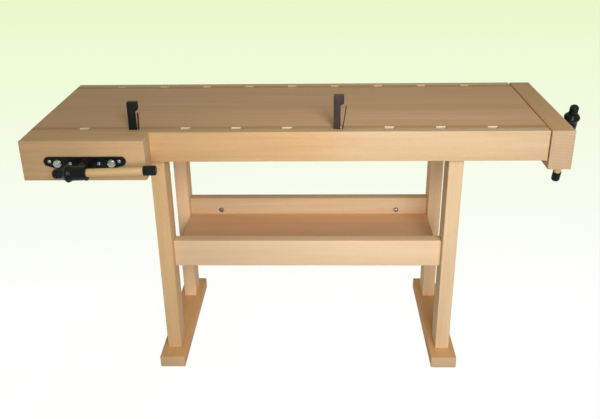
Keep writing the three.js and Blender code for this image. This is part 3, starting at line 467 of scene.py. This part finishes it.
def enamel(name, color="0D0E11", worn="1C1D22", sheen=0.26, grit=0.0022):
    """Black stoving enamel on sand-cast iron: near black with a bluish gloss, over a skin of sand grains
    about 2 mm wide, drawn coarser than real sand so that it shows, and thinner and greyer in patches."""
    material, tree, shader = finish_of(name, IOR=1.52, Specular_IOR_Level=0.13)
    place = add(tree, PLACE).outputs["Object"]
    sand = add(tree, NOISE, {"Vector": place, "Scale": 1 / grit, "Detail": 3.0})
    patch = add(tree, NOISE, {"Vector": place, "Scale": 45.0, "Detail": 4.0})
    thin = add(tree, RANGE, {0: patch.outputs[0], 1: 0.42, 2: 0.75, 3: 0.0, 4: 0.7})
    color = add(tree, MIX, {0: thin.outputs[0], 6: srgb(color), 7: srgb(worn)}, data_type="RGBA")
    rough = add(tree, RANGE, {0: sand.outputs[0], 1: 0.3, 2: 0.7, 3: sheen - 0.06, 4: sheen + 0.14})
    coat(tree, shader, color.outputs[2], rough.outputs[0], sand.outputs[0], 0.22, 0.0004)
    return material


def zinc(name):
    """Zinc-plated steel, bright-passivated: a pale blue-grey metal with drawn lines about 1 mm apart and dull
    spots."""
    material, tree, shader = finish_of(name, Metallic=1.0)
    place = add(tree, PLACE).outputs["Object"]
    lines = add(tree, VECTOR, {0: place, 1: (900, 900, 60)}, operation="MULTIPLY")
    drawn = add(tree, NOISE, {"Vector": lines.outputs[0], "Scale": 1.0, "Detail": 3.0})
    spots = add(tree, NOISE, {"Vector": place, "Scale": 240.0, "Detail": 3.0})
    dull = add(tree, RANGE, {0: spots.outputs[0], 1: 0.35, 2: 0.75, 3: 0.0, 4: 0.8})
    color = add(tree, MIX, {0: dull.outputs[0], 6: srgb("AEB1B2"), 7: srgb("80827F")}, data_type="RGBA")
    rough = add(tree, RANGE, {0: drawn.outputs[0], 1: 0.3, 2: 0.7, 3: 0.2, 4: 0.42})
    coat(tree, shader, color.outputs[2], rough.outputs[0], drawn.outputs[0], 0.1, 0.0002)
    return material


def nylon(name):
    """Black moulded nylon: a soft satin black with a fine spark-eroded grain, drawn at 1 mm so that it
    shows."""
    material, tree, shader = finish_of(name, IOR=1.53, Specular_IOR_Level=0.15)
    place = add(tree, PLACE).outputs["Object"]
    grain = add(tree, NOISE, {"Vector": place, "Scale": 1000.0, "Detail": 2.0})
    rub = add(tree, NOISE, {"Vector": place, "Scale": 70.0, "Detail": 4.0})
    rubbed = add(tree, RANGE, {0: rub.outputs[0], 1: 0.45, 2: 0.75, 3: 0.0, 4: 0.6})
    color = add(tree, MIX, {0: rubbed.outputs[0], 6: srgb("0D0F13"), 7: srgb("1A1D23")}, data_type="RGBA")
    rough = add(tree, RANGE, {0: rub.outputs[0], 1: 0.3, 2: 0.7, 3: 0.36, 4: 0.52})
    coat(tree, shader, color.outputs[2], rough.outputs[0], grain.outputs[0], 0.15, 0.0002)
    return material


def spring_steel(name):
    """Tempered spring steel: a brown-blue oxide over a smooth rolled strip, with faint lines along it."""
    material, tree, shader = finish_of(name, Metallic=1.0)
    place = add(tree, PLACE).outputs["Object"]
    heat = add(tree, VECTOR, {0: place, 1: (60, 60, 14)}, operation="MULTIPLY")
    tint = add(tree, NOISE, {"Vector": heat.outputs[0], "Scale": 1.0, "Detail": 2.0})
    color = add(tree, MIX, {0: tint.outputs[0], 6: srgb("442818"), 7: srgb("261D1F")}, data_type="RGBA")
    lines = add(tree, VECTOR, {0: place, 1: (1500, 1500, 40)}, operation="MULTIPLY")
    rolled = add(tree, NOISE, {"Vector": lines.outputs[0], "Scale": 1.0, "Detail": 2.0})
    rough = add(tree, RANGE, {0: rolled.outputs[0], 1: 0.3, 2: 0.7, 3: 0.28, 4: 0.5})
    coat(tree, shader, color.outputs[2], rough.outputs[0], rolled.outputs[0], 0.1, 0.0002)
    return material


black_enamel = enamel("black_enamel_on_cast_iron")
zinc_steel = zinc("zinc_plated_steel")
black_nylon = nylon("black_moulded_nylon")
tempered = spring_steel("tempered_spring_steel")
dog_black = enamel("blackened_forged_steel", "131414", "212120", 0.45, 0.003)
dog_grey = enamel("worn_blackened_forged_steel", "423635", "604F4D", 0.45, 0.003)

# Wooden boards: the way of the grain and the radius of the eased edges
BOARDS = {
    "bench_top": ("X", 0.4),
    "front_apron": ("X", 1.2),
    "rear_apron": ("X", 1.2),
    "end_board": ("Y", 0.5),
    "left_foot": ("Y", 3.0),
    "right_foot": ("Y", 3.0),
    "left_front_leg": ("Z", 2.6),
    "left_rear_leg": ("Z", 2.6),
    "right_front_leg": ("Z", 2.6),
    "right_rear_leg": ("Z", 2.6),
    "left_top_beam": ("Y", 1.0),
    "right_top_beam": ("Y", 1.0),
    "front_stretcher": ("X", 2.2),
    "rear_stretcher": ("X", 2.2),
    "tray_bottom": ("X", 0.6),
    "front_jaw": ("X", 2.2),
    "end_jaw": ("Y", 2.2),
}
# Boards whose early and late wood have colours of their own: partly the tone of a paler or warm tree,
# partly painted light and shade, darker and warm where a board lies in shade or the light falls off, as on
# the tray, the jaw and the left front leg, and paler where it is lit, as on the rear legs
TONES_AND_PAINTED_LIGHT = {
    "bench_top": ("E6BA92", "D6A379"),
    "front_apron": ("E5C69F", "D4AC81"),
    "front_dog_strip": ("CFA478", "BF9062"),
    "rear_dog_strip": ("CFA478", "BF9062"),
    "left_foot": ("E3B47D", "D29D66"),
    "right_foot": ("E3B47D", "D29D66"),
    "left_front_leg": ("EFC998", "DDB07A"),
    "left_rear_leg": ("FDDBB0", "EEC292"),
    "right_front_leg": ("EFD0A8", "DFB88C"),
    "right_rear_leg": ("FADAB0", "EBC192"),
    "front_stretcher": ("F4D6B0", "E6C296"),
    "rear_stretcher": ("DEC39D", "CEA980"),
    "tray_bottom": ("F2C69A", "E8B688"),
    "front_jaw": ("EFC796", "DCAC78"),
    "end_jaw": ("E1B687", "D09E6E"),
}
# Widths of glued staves, and where the painted shade over a board's left end fades out, in metres
STAVES = {"bench_top": 0.0566, "tray_bottom": 0.083, "front_jaw": 0.04, "end_jaw": 0.036}
PAINTED_FALLOFF = {"front_apron": (-0.05, 0.2)}

# The solids' legs have tenons inside the feet and the beams; these boards end at the faces where they go in.
leg_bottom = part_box("left_foot")[1][2] + GAP * MM
leg_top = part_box("front_apron")[0][2] - GAP * MM
wood = {}
for seed, (node, (grain, ease)) in enumerate(BOARDS.items(), 1):
    low, high = np.array(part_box(node))
    if node.endswith("_leg"):
        low[2], high[2] = leg_bottom, leg_top
    # Colours with the boards' painted light and shade, and the painted shade at the apron's left end
    finish = beech(f"oiled_beech_{node}", grain, seed, *TONES_AND_PAINTED_LIGHT.get(node, ()),
                   stave=STAVES.get(node, ONE_STAVE), painted_falloff=PAINTED_FALLOFF.get(node))
    body = node if node.endswith("_jaw") else "bench"
    wood[node] = show(f"{node}_board", body, finish, board(low, high, ease * MM), "beech", node)

# Dog strips: a comb's outline, notched from one face at each dog hole, carried up the strip's height
UPRIGHT = 0.3
sawn = beech("sawn_beech_hole_walls", "X", 20, "FBE6C8", "F0D4B0")
notch = np.array([[-1, 0], [-1, 1], [1, 1], [1, 0]]) * np.array([HOLE_WIDTH / 2, HOLE_DEPTH]) * MM
for strip, seed, side in (("front_dog_strip", 18, 1), ("rear_dog_strip", 19, -1)):
    low, high = np.array(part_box(strip))
    deep = high[1] - low[1]
    middle = (low[0] + high[0]) / 2 + HOLE_PITCH * MM * (np.arange(HOLE_COUNT) - (HOLE_COUNT - 1) / 2)
    teeth = (np.stack([middle, 0 * middle], -1)[:, None] + notch[None]).reshape(-1, 2)
    comb = np.concatenate([[[low[0], 0]], teeth, [[high[0], 0], [high[0], deep], [low[0], deep]]])
    comb[:, 1] = low[1] + comb[:, 1] if side > 0 else high[1] - comb[:, 1]
    finish = beech(f"oiled_beech_{strip}", "X", seed, *TONES_AND_PAINTED_LIGHT[strip])
    shape = slab(comb[::side], low[2], high[2], STRIP_EASE * MM)
    wood[strip] = show(f"{strip}_board", "bench", finish, shape, "beech", strip)
    # The faces that are upright, to within UPRIGHT, line the holes and are straight from the saw: unoiled and
    # paler.
    mesh = wood[strip].data
    mesh.materials.append(sawn)
    normals = np.empty(len(mesh.polygons) * 3, np.float32)
    mesh.polygons.foreach_get("normal", normals)
    mesh.polygons.foreach_set("material_index", (np.abs(normals[2::3]) < UPRIGHT).astype(np.int32))


# Vises: shapes about the vise screw's axis z, from the jaw's face at z = 0

def plate_shape():
    """A face plate: its outline as a slab, with a straight top edge, round ends, and a lower edge that falls
    in two slopes to a flat belly, corners softened; round the screw a turned boss."""
    arc = np.radians(np.linspace(90, -60, 13))
    middle = np.array([PLATE_HALF - PLATE_END, PLATE_RISE - PLATE_END])
    end = middle + PLATE_END * np.stack([np.cos(arc), np.sin(arc)], -1)
    belly = soften([end[-1], PLATE_BEND, (PLATE_BELLY, -PLATE_DROP), (0, -PLATE_DROP)], PLATE_CURVE, 5)[1:-1]
    half = np.concatenate([end, belly])
    outline = np.concatenate([half, half[::-1] * (-1, 1)])[::-1]
    boss = [(0, BOSS_BACK), (BOSS_FOOT, BOSS_BACK), (BOSS_FOOT, PLATE_THICK + GAP),
            (BOSS_RADIUS, PLATE_THICK + BOSS_FILLET), (BOSS_RADIUS, BOSS_FACE), (0, BOSS_FACE)]
    return joined(slab(outline, GAP, GAP + PLATE_THICK, PLATE_EASE, 4), turned(soften(boss, BOSS_EASE), 64))


def plate_screw_shape():
    """A wood screw: a shank turned to a taper, and a slotted pan head on the plate."""
    seat = PLATE_THICK + 2 * GAP
    shank = [(0, PLATE_SCREW_TIP), (PLATE_SCREW_POINT, PLATE_SCREW_TIP),
             (PLATE_SCREW_RADIUS, PLATE_SCREW_TAPER), (PLATE_SCREW_RADIUS, seat), (0, seat)]
    head = slotted_head(PLATE_HEAD_RADIUS, PLATE_HEAD_HEIGHT, PLATE_HEAD_SLOT)
    return joined(turned(shank, 16), shift(head, (0, 0, PLATE_THICK + GAP + PLATE_HEAD_LIFT)))


def guide_rod_shape(reach):
    """A guide rod with a chamfered tip, and on its other end a hexagon head, with a button on it and a washer
    under it."""
    seat = PLATE_THICK + 2 * GAP
    top = seat + ROD_HEAD
    button = shift(turned(ROD_BUTTON, 32), (0, 0, top))
    return joined(rod(ROD_RADIUS, -reach, seat, ROD_CHAMFER, 40),
                  washer(ROD_WASHER, seat, ROD_WASHER_THICK, ROD_WASHER_EASE),
                  hexagon_head(ROD_FLATS, seat + ROD_WASHER_THICK, top), button)


def screw_shape(thickness):
    """A trapezoid-threaded screw on a turned core, with its ring and the spigot that goes into the hub."""
    tip = -thickness - SCREW_REACH
    core = SCREW_RADIUS - THREAD_DEPTH
    back = -RING_THICK
    profile = [(0, tip), (core - SCREW_CHAMFER, tip), (core, tip + SCREW_CHAMFER),
               (core, back - RUNOUT_START), (SCREW_RADIUS, back - RUNOUT_END), (SCREW_RADIUS, back),
               (RING_RADIUS, back), (RING_RADIUS, 0), (SCREW_RADIUS, 0), (SCREW_RADIUS, COLLAR_FACE),
               (SPIGOT_RADIUS, COLLAR_FACE), (SPIGOT_RADIUS, SPIGOT_END), (0, SPIGOT_END)]
    thread_end = back - (RUNOUT_START + RUNOUT_END) / 2
    return joined(turned(profile, 48), screw_thread(SCREW_RADIUS, SCREW_LEAD, tip + 1, thread_end))


def collar_shape():
    """A thrust collar turned from a ring's profile with softened edges."""
    ring = [(SCREW_RADIUS, COLLAR_BACK), (COLLAR_RADIUS, COLLAR_BACK), (COLLAR_RADIUS, COLLAR_FACE),
            (SCREW_RADIUS, COLLAR_FACE)]
    return turned(soften(ring, COLLAR_EASE, 3, closed=True), 56, close=True)


def hub_shape():
    """A cross tube turned from a softened ring profile, with a neck whose foot spreads onto the tube: each
    line of the neck is a parabola from a circle to the curve where a wider oval meets the tube."""
    mouth, lip = BAR_RADIUS + BORE_PLAY, HUB_RADIUS + LIP_HEIGHT
    ring = [(mouth, -HUB_LEFT), (HUB_MOUTH, -HUB_LEFT), (HUB_COLLAR, RIDGE_START - HUB_LEFT),
            (HUB_COLLAR, RIDGE_END - HUB_LEFT), (HUB_RADIUS, SLOPE_END - HUB_LEFT),
            (HUB_RADIUS, HUB_RIGHT - LIP_START), (lip, HUB_RIGHT - LIP_WIDTH), (lip, HUB_RIGHT),
            (mouth, HUB_RIGHT)]
    ring = soften(ring, HUB_EASE, 4, closed=True)
    tube = shift(lay(turned(ring, 64, close=True), "x"), (0, 0, HUB_HEIGHT))
    angle = np.linspace(0, 2 * math.pi, 64, endpoint=False)[None]
    t = np.linspace(0, 1, 12)[:, None]
    x0, y0 = NECK_RADIUS * np.cos(angle), NECK_RADIUS * np.sin(angle)
    x2, y2 = NECK_OVAL[0] * np.cos(angle), NECK_OVAL[1] * np.sin(angle)
    z1 = HUB_HEIGHT - np.sqrt(HUB_RADIUS ** 2 - y0 ** 2)
    z2 = HUB_HEIGHT - np.sqrt(HUB_RADIUS ** 2 - y2 ** 2) + NECK_SINK
    z0 = np.minimum(z1 - NECK_CURVE, HUB_HEIGHT - NECK_TOP)
    a, b, c = (1 - t) ** 2, 2 * t * (1 - t), t ** 2
    spread = np.stack([(a + b) * x0 + c * x2, (a + b) * y0 + c * y2, a * z0 + b * z1 + c * z2], -1)
    low = COLLAR_FACE + GAP
    rim = (NECK_RADIUS - NECK_RIM) / NECK_RADIUS
    foot = [np.stack([share * x0, share * y0, height + 0 * x0], -1)
            for share, height in ((0, low), (rim, low), (1, low + NECK_RIM))]
    return joined(tube, grid(np.concatenate([*foot, spread])))


def cap_shape(length, dome):
    """A turned cap with a socket for the bar, a plain wall and an end rounded off by an arc of the dome's
    radius."""
    socket, depth = BAR_RADIUS + GAP, length - CAP_END
    mouth = [(0, depth), (socket, depth), (socket, 0), *((CAP_RADIUS + r, height) for r, height in CAP_RIM)]
    arc = np.radians(np.linspace(0, 80, 13))
    end = np.stack([CAP_RADIUS - dome + dome * np.cos(arc), length - dome + dome * np.sin(arc)], -1)
    return turned(np.concatenate([mouth, end, [(0, length)]]), 56)


def nut_plate_shape(back, face):
    """A nut plate: a softened rectangle as a slab, and behind it a boss turned from a softened profile."""
    outline = [(-NUT_HALF, -NUT_RISE), (NUT_HALF, -NUT_RISE), (NUT_HALF, NUT_RISE), (-NUT_HALF, NUT_RISE)]
    end = back - NUT_BOSS_LENGTH
    foot = [(NUT_BOSS + r, back + height) for r, height in NUT_BOSS_FOOT]
    ring = [(NUT_BORE, foot[0][1]), *foot, (NUT_BOSS, end), (NUT_BORE, end)]
    return joined(slab(soften(outline, NUT_CORNER, 5, closed=True), back, face, NUT_EASE),
                  turned(soften(ring, NUT_BOSS_EASE, 4, closed=True), 56, close=True))


# Each vise: its axes across, up and outwards, its rods, its caps, and the boards behind its jaw that it is
# let into
VISES = {
    "front": (((1, 0, 0), (0, 0, 1), (0, -1, 0)), ("left", "right"), ("left", "right"),
              ("front_apron", "front_dog_strip")),
    "end": (((0, 1, 0), (0, 0, 1), (1, 0, 0)), ("front", "rear"), ("upper", "lower"),
            ("end_board", "right_top_beam")),
}
# Where the bores start and end, before and behind the jaw's face, so that they pass all the wood
BORE_FRONT, BORE_REACH, RECESS_FRONT = 30, 500, 5

for name, (axes, rods, caps, boards) in VISES.items():
    jaw, screw, handle = f"{name}_jaw", f"{name}_screw", f"{name}_handle"
    origin = next(joint["pos_m"] for joint in frame["joints"] if joint["name"] == f"{name}_screw_turn")
    origin, axes = np.array(origin), np.array(axes, float)
    x, y, z = axes
    shape = placed(plate_shape(), origin, axes)
    show(f"{name}_face_plate", jaw, black_enamel, shape, "black_iron", f"{name}_vise_plate")
    for which, side in zip(rods, (-1, 1)):
        node = f"{name}_vise_{which}_rod"
        shape = shift(guide_rod_shape(JAW_THICK[name] + ROD_REACH), (side * ROD_OFFSET, ROD_RISE, 0))
        show(f"{node}_turned", jaw, zinc_steel, placed(shape, origin, axes), "zinc_steel", node)
    for number, (across, up) in enumerate(PLATE_SCREWS, 1):
        node = f"{name}_plate_screw_{number}"
        shape = placed(shift(plate_screw_shape(), (across, up, 0)), origin, axes)
        show(f"{node}_slotted", jaw, zinc_steel, shape, "zinc_steel", node)
    node = f"{name}_vise_screw"
    shape = placed(screw_shape(JAW_THICK[name]), origin, axes)
    show(f"{node}_threaded", screw, zinc_steel, shape, "zinc_steel", node)
    shape = placed(collar_shape(), origin, axes)
    show(f"{name}_vise_thrust_collar", screw, black_enamel, shape, "black_iron")

    # Hub and handle, turned about the screw to where they stand
    cos, sin = math.cos(HANDLE_ANGLE[name]), math.sin(HANDLE_ANGLE[name])
    grip = np.array([cos * x + sin * y, cos * y - sin * x, z])
    node = f"{name}_vise_hub"
    show(f"{node}_cast", screw, black_enamel, placed(hub_shape(), origin, grip), "black_iron", node)
    near = -HUB_LEFT - GAP
    far = near - NEAR_CAP + HANDLE_LENGTH[name] - FAR_CAP
    start, end = near - NEAR_CAP + CAP_END + GAP, far + FAR_CAP - CAP_END - GAP
    bar = turned([(0, start), (BAR_RADIUS, start), (BAR_RADIUS, end), (0, end)], 56)
    finish = beech(f"turned_beech_{name}_handle", name, HANDLE_SEED[name], "F4D29A", "DDB072", sheen=0.36)
    node = f"{name}_handle_bar"
    shape = placed(shift(lay(bar, "x"), (0, 0, HUB_HEIGHT)), origin, grip)
    show(f"{node}_turned", handle, finish, shape, "turned_beech", node)
    ends = (("-x", near, NEAR_CAP, NEAR_DOME), ("x", far, FAR_CAP, FAR_DOME))
    for which, (axis, mouth, length, dome) in zip(caps, ends):
        node = f"{name}_handle_{which}_cap"
        shape = shift(lay(cap_shape(length, dome), axis), (mouth, 0, HUB_HEIGHT))
        show(f"{node}_moulded", handle, black_nylon, placed(shape, origin, grip), "black_plastic", node)

    # Nut plate behind the dog strip or the end board
    node = f"{name}_nut_plate"
    face = ((np.array(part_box(node)) - origin) @ z / MM).max()
    back = face - NUT_THICK
    shape = placed(nut_plate_shape(back, face), origin, axes)
    show(f"{node}_cast", "bench", black_enamel, shape, "black_iron", node)
    lag = lay(hexagon_head(LAG_FLATS, 0, LAG_HEAD), "-z")
    lags = joined(*(shift(lag, (across, up, back)) for across, up in LAG_PLACES))
    show(f"{node}_lag_screws", "bench", zinc_steel, placed(lags, origin, axes), "zinc_steel")

    # Bores for the screw and the rods through all the wood that they pass, and a recess for the jaw's ring
    bores = []
    for across, up, radius in ((0, 0, SCREW_RADIUS), (-ROD_OFFSET, ROD_RISE, ROD_RADIUS),
                               (ROD_OFFSET, ROD_RISE, ROD_RADIUS)):
        middle = origin + (across * x + up * y) * MM
        bores.append(((radius + BORE_PLAY) * MM, middle + BORE_FRONT * MM * z, middle - BORE_REACH * MM * z))
    recess = ((RING_RADIUS + BORE_PLAY) * MM, origin + RECESS_FRONT * MM * z,
              origin - (RING_THICK + GAP) * MM * z)
    bore(wood[jaw], bores + [recess])
    for node in boards:
        bore(wood[node], bores)

# Trestle fasteners: bolts through the legs with washers, barrel nuts in the stretchers, bolts up into the top
bolt = joined(washer(WASHER_RADIUS, 0, WASHER_THICK, WASHER_EASE),
              rod(BOLT_RADIUS, -BOLT_LENGTH, 0, BOLT_CHAMFER, 32),
              hexagon_head(BOLT_FLATS, WASHER_THICK, BOLT_HEAD))
rim = [(DRUM_RADIUS + r, height) for r, height in DRUM_RIM]
drum = turned([(0, -DRUM_LENGTH), (DRUM_RADIUS - DRUM_CHAMFER, -DRUM_LENGTH),
               (DRUM_RADIUS, DRUM_CHAMFER - DRUM_LENGTH), *rim], 48)
drum_face = slotted_head(DRUM_FACE_RADIUS, DRUM_FACE_HEIGHT, DRUM_SLOT, 64, 24)
barrel_nut = joined(drum, shift(drum_face, (0, 0, -DRUM_FACE_HEIGHT)))
shank = [(0, 0), (BOLT_RADIUS, 0), (BOLT_RADIUS, TOP_BOLT_LENGTH), (0, TOP_BOLT_LENGTH)]
top_bolt = joined(washer(TOP_WASHER_RADIUS, -WASHER_THICK, WASHER_THICK, WASHER_EASE),
                  lay(hexagon_head(BOLT_FLATS, WASHER_THICK, BOLT_HEAD), "-z"),
                  turned(shank, 32))
for side, out in (("left", "-x"), ("right", "x")):
    for end, inner in (("front", "y"), ("rear", "-y")):
        node = f"{side}_{end}_bolt"
        low, high = np.array(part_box(node))
        seat = (low + high) / 2
        seat[0] = high[0] - BOLT_HEAD * MM if out == "x" else low[0] + BOLT_HEAD * MM
        show(f"{node}_hexagon", "bench", zinc_steel, placed(lay(bolt, out), seat), "zinc_steel", node)
        node = f"{side}_{end}_barrel_nut"
        low, high = np.array(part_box(node))
        face = (low + high) / 2
        face[1] = high[1] if inner == "y" else low[1]
        show(f"{node}_slotted", "bench", zinc_steel, placed(lay(barrel_nut, inner), face), "zinc_steel", node)
        way = np.array([0, 1 if inner == "y" else -1, 0])
        hole = (DRUM_BORE * MM, face + DRUM_BORE_FRONT * MM * way, face - DRUM_BORE_DEPTH * MM * way)
        bore(wood[f"{end}_stretcher"], [hole])
    node = f"{side}_top_bolt"
    low, high = np.array(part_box(node))
    seat = (low + high) / 2
    seat[2] = low[2] + BOLT_HEAD * MM
    show(f"{node}_hexagon", "bench", zinc_steel, placed(top_bolt, seat), "zinc_steel", node)

# Bench dogs: the stem's outline with its sloping head, carried through its thickness, and a bent leaf spring,
# whose blade leans out by a power of its height and is held by two rivets
DOG_AXES = ((1, 0, 0), (0, 0, 1), (0, -1, 0))
outline = [(0, DOG_FOOT), (STEM, DOG_FOOT), (STEM, HEAD_FOOT), (HEAD, HEAD_SIDE), (HEAD, 0), (0, 0)]
outline = soften(outline, DOG_CORNER, 4, closed=True)
rivet = lay(turned(RIVET, 24), "x")
seat = STEM + GAP
share = np.linspace(0, 1, 25)
for name, finish, lean, bow in (("left", dog_black, 7, 2.5), ("middle", dog_grey, 16, 1.15)):
    node, leaf_node = f"{name}_dog", f"{name}_dog_spring"
    low, high = np.array(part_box(node))
    thick = (high[1] - low[1]) / MM
    corner = np.array([low[0], high[1], high[2]])
    shape = placed(slab(outline, 0, thick, DOG_EASE), corner, DOG_AXES)
    show(f"{node}_forged", node, finish, shape, "dog_iron", node)
    blade = np.stack([seat + LEAF / 2 + lean * (1 - (1 - share) ** bow), BLADE_FOOT + BLADE_LENGTH * share,
                      0 * share + thick / 2], -1)
    foot = np.array([[seat + LEAF / 2, height, thick / 2] for height in LEAF_FOOT])
    leaf = ribbon(np.concatenate([foot, blade]), (0, 0, 1), LEAF, thick - 2 * LEAF_MARGIN)
    rivets = [shift(rivet, (seat + LEAF, height, thick / 2)) for height in RIVETS]
    shape = placed(joined(leaf, *rivets), corner, DOG_AXES)
    spring = show(f"{node}_leaf_spring", node, tempered, shape, "spring_steel", leaf_node)
    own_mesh(spring)


# Backdrop, with its sizes in metres
PAPER, PAPER_BEHIND, PAPER_LIT = "FFFFFF", "ECFCCB", "C2C4BD"
FLOOR_HALF = 60
TINT_WHOLE, TINT_FALL, TINT_NEAR = 1.4415, 4.881, 3.086
TINT_START, TINT_END = 8.0, 24.0
GLOW, GLOW_SHARE = 1.12, 0.86
ROOM_LIGHT, WALL_LIGHT = 0.21, 0.96


def seen(tree):
    """One where a thing is seen by the eye, in metal or through glass, and none where it only gives light."""
    ray = add(tree, "ShaderNodeLightPath").outputs
    either = add(tree, MATH, {0: ray["Is Camera Ray"], 1: ray["Is Glossy Ray"]}, operation="MAXIMUM")
    any_way = add(tree, MATH, {0: either.outputs[0], 1: ray["Is Transmission Ray"]}, operation="MAXIMUM")
    return any_way.outputs[0]


# Matt paper under the bench: almost white in front and pale green behind. It takes the bench's shadow, and
# where it is seen it glows, so that it stays pale.
floor_mesh = bpy.data.meshes.new("paper_floor")
square = ((-1, -1), (1, -1), (1, 1), (-1, 1))
floor_mesh.from_pydata([(x * FLOOR_HALF, y * FLOOR_HALF, -GAP * MM) for x, y in square], [], [(0, 1, 2, 3)])
floor = put("paper_floor", floor_mesh)
paper = bpy.data.materials.new("matt_paper")
paper.use_nodes = True
tree = paper.node_tree
tree.nodes.clear()
place = add(tree, PLACE).outputs["Object"]
apart = add(tree, "ShaderNodeSeparateXYZ", {0: place})
# The tint is TINT_WHOLE - TINT_FALL / (y + TINT_NEAR): none at y = 0.3 m and all of it at 8 m, evenly as the
# eye sees it.
away = add(tree, MATH, {0: apart.outputs[1], 1: TINT_NEAR}, operation="ADD")
away = add(tree, MATH, {0: away.outputs[0], 1: 1.0}, operation="MAXIMUM")
away = add(tree, MATH, {0: TINT_FALL, 1: away.outputs[0]}, operation="DIVIDE")
back = add(tree, MATH, {0: TINT_WHOLE, 1: away.outputs[0]}, operation="SUBTRACT")
# Far off on all sides the tint is whole too, so that the floor runs into the wall without an edge.
reach = add(tree, VECTOR, {0: place}, operation="LENGTH")
far = add(tree, RANGE, {0: reach.outputs["Value"], 1: TINT_START, 2: TINT_END, 3: 0.0, 4: 1.0},
          interpolation_type="SMOOTHSTEP")
back = add(tree, MATH, {0: back.outputs[0], 1: far.outputs[0]}, operation="MAXIMUM")
tint = add(tree, MIX, {0: back.outputs[0], 6: srgb(PAPER), 7: srgb(PAPER_BEHIND)}, data_type="RGBA")
lit = add(tree, "ShaderNodeBsdfDiffuse", {0: srgb(PAPER_LIT)})
glow = add(tree, "ShaderNodeEmission", {0: tint.outputs[2], 1: GLOW})
share = add(tree, MATH, {0: seen(tree), 1: GLOW_SHARE}, operation="MULTIPLY")
mix = add(tree, "ShaderNodeMixShader", {0: share.outputs[0], 1: lit.outputs[0], 2: glow.outputs[0]})
add(tree, "ShaderNodeOutputMaterial", {0: mix.outputs[0]})
floor_mesh.materials.append(paper)

# The world lights the bench as an even room, and is seen as a pale green wall.
world = bpy.data.worlds.new("studio")
bpy.context.scene.world = world
world.use_nodes = True
tree = world.node_tree
tree.nodes.clear()
room = add(tree, "ShaderNodeBackground", {0: srgb("F4F6F2"), 1: ROOM_LIGHT})
wall = add(tree, "ShaderNodeBackground", {0: srgb(PAPER_BEHIND), 1: WALL_LIGHT})
mix = add(tree, "ShaderNodeMixShader", {0: seen(tree), 1: room.outputs[0], 2: wall.outputs[0]})
add(tree, "ShaderNodeOutputWorld", {0: mix.outputs[0]})


def axes_at(x, y, z, place):
    """A matrix of three axes and a place."""
    return Matrix([[x[i], y[i], z[i], place[i]] for i in range(3)] + [[0, 0, 0, 1]])


def soft_light(name, place, target, size, power, beam, shine=True):
    """A square soft box that faces its target, with a grid that narrows its beam to an angle in degrees.
    Without shine it lights the colours of things and leaves no gleam on them."""
    lamp = bpy.data.lights.new(name, "AREA")
    lamp.shape, lamp.size, lamp.energy, lamp.spread = "SQUARE", size, power, math.radians(beam)
    holder = put(name, lamp)
    holder.visible_camera, holder.visible_glossy = False, shine
    z = np.array(place, float) - np.array(target, float)
    z /= np.linalg.norm(z)
    x = np.cross((0, 0, 1), z)
    x /= np.linalg.norm(x)
    holder.matrix_world = axes_at(x, np.cross(z, x), z, place)


# Two soft boxes in front, a little to the right, and weak ones level with the top at both ends and behind
soft_light("front_light", (0.35, -3.4, 1.45), (0.32, 0, 0.55), 1.0, 8.5, 66)
soft_light("high_light", (0.9, -3.2, 2.5), (0.22, 0, 0.6), 1.0, 6.4, 62)
soft_light("right_light", (4.3, 0.1, 0.95), (0.6, 0.1, 0.6), 1.0, 3.2, 66, shine=False)
soft_light("left_light", (-4.3, 0.1, 0.95), (-0.6, 0.1, 0.6), 1.0, 3.6, 66, shine=False)
soft_light("back_light", (0.3, 4.0, 1.0), (0.1, 0, 0.6), 1.5, 5.5, 66, shine=False)

# Camera at the photograph's viewing angle, with its width and focal length in pixels
PHOTO_WIDTH, PHOTO_FOCAL, SENSOR = 600, 739.28, 36
EYE = (0.01108, -2.35995, 1.58827)
yaw, pitch, roll = np.radians((-1.68, 24.56, 0.79))
forward = np.array([math.sin(yaw) * math.cos(pitch), math.cos(yaw) * math.cos(pitch), -math.sin(pitch)])
right = np.array([math.cos(yaw), -math.sin(yaw), 0])
down = np.cross(forward, right)
right, down = math.cos(roll) * right + math.sin(roll) * down, math.cos(roll) * down - math.sin(roll) * right
lens = bpy.data.cameras.new("camera")
lens.sensor_fit, lens.sensor_width, lens.lens = "HORIZONTAL", SENSOR, SENSOR * PHOTO_FOCAL / PHOTO_WIDTH
camera = put("camera", lens)
camera.matrix_world = axes_at(right, -down, -forward, EYE)
bpy.context.scene.camera = camera
bpy.context.scene.view_settings.view_transform = "Standard"
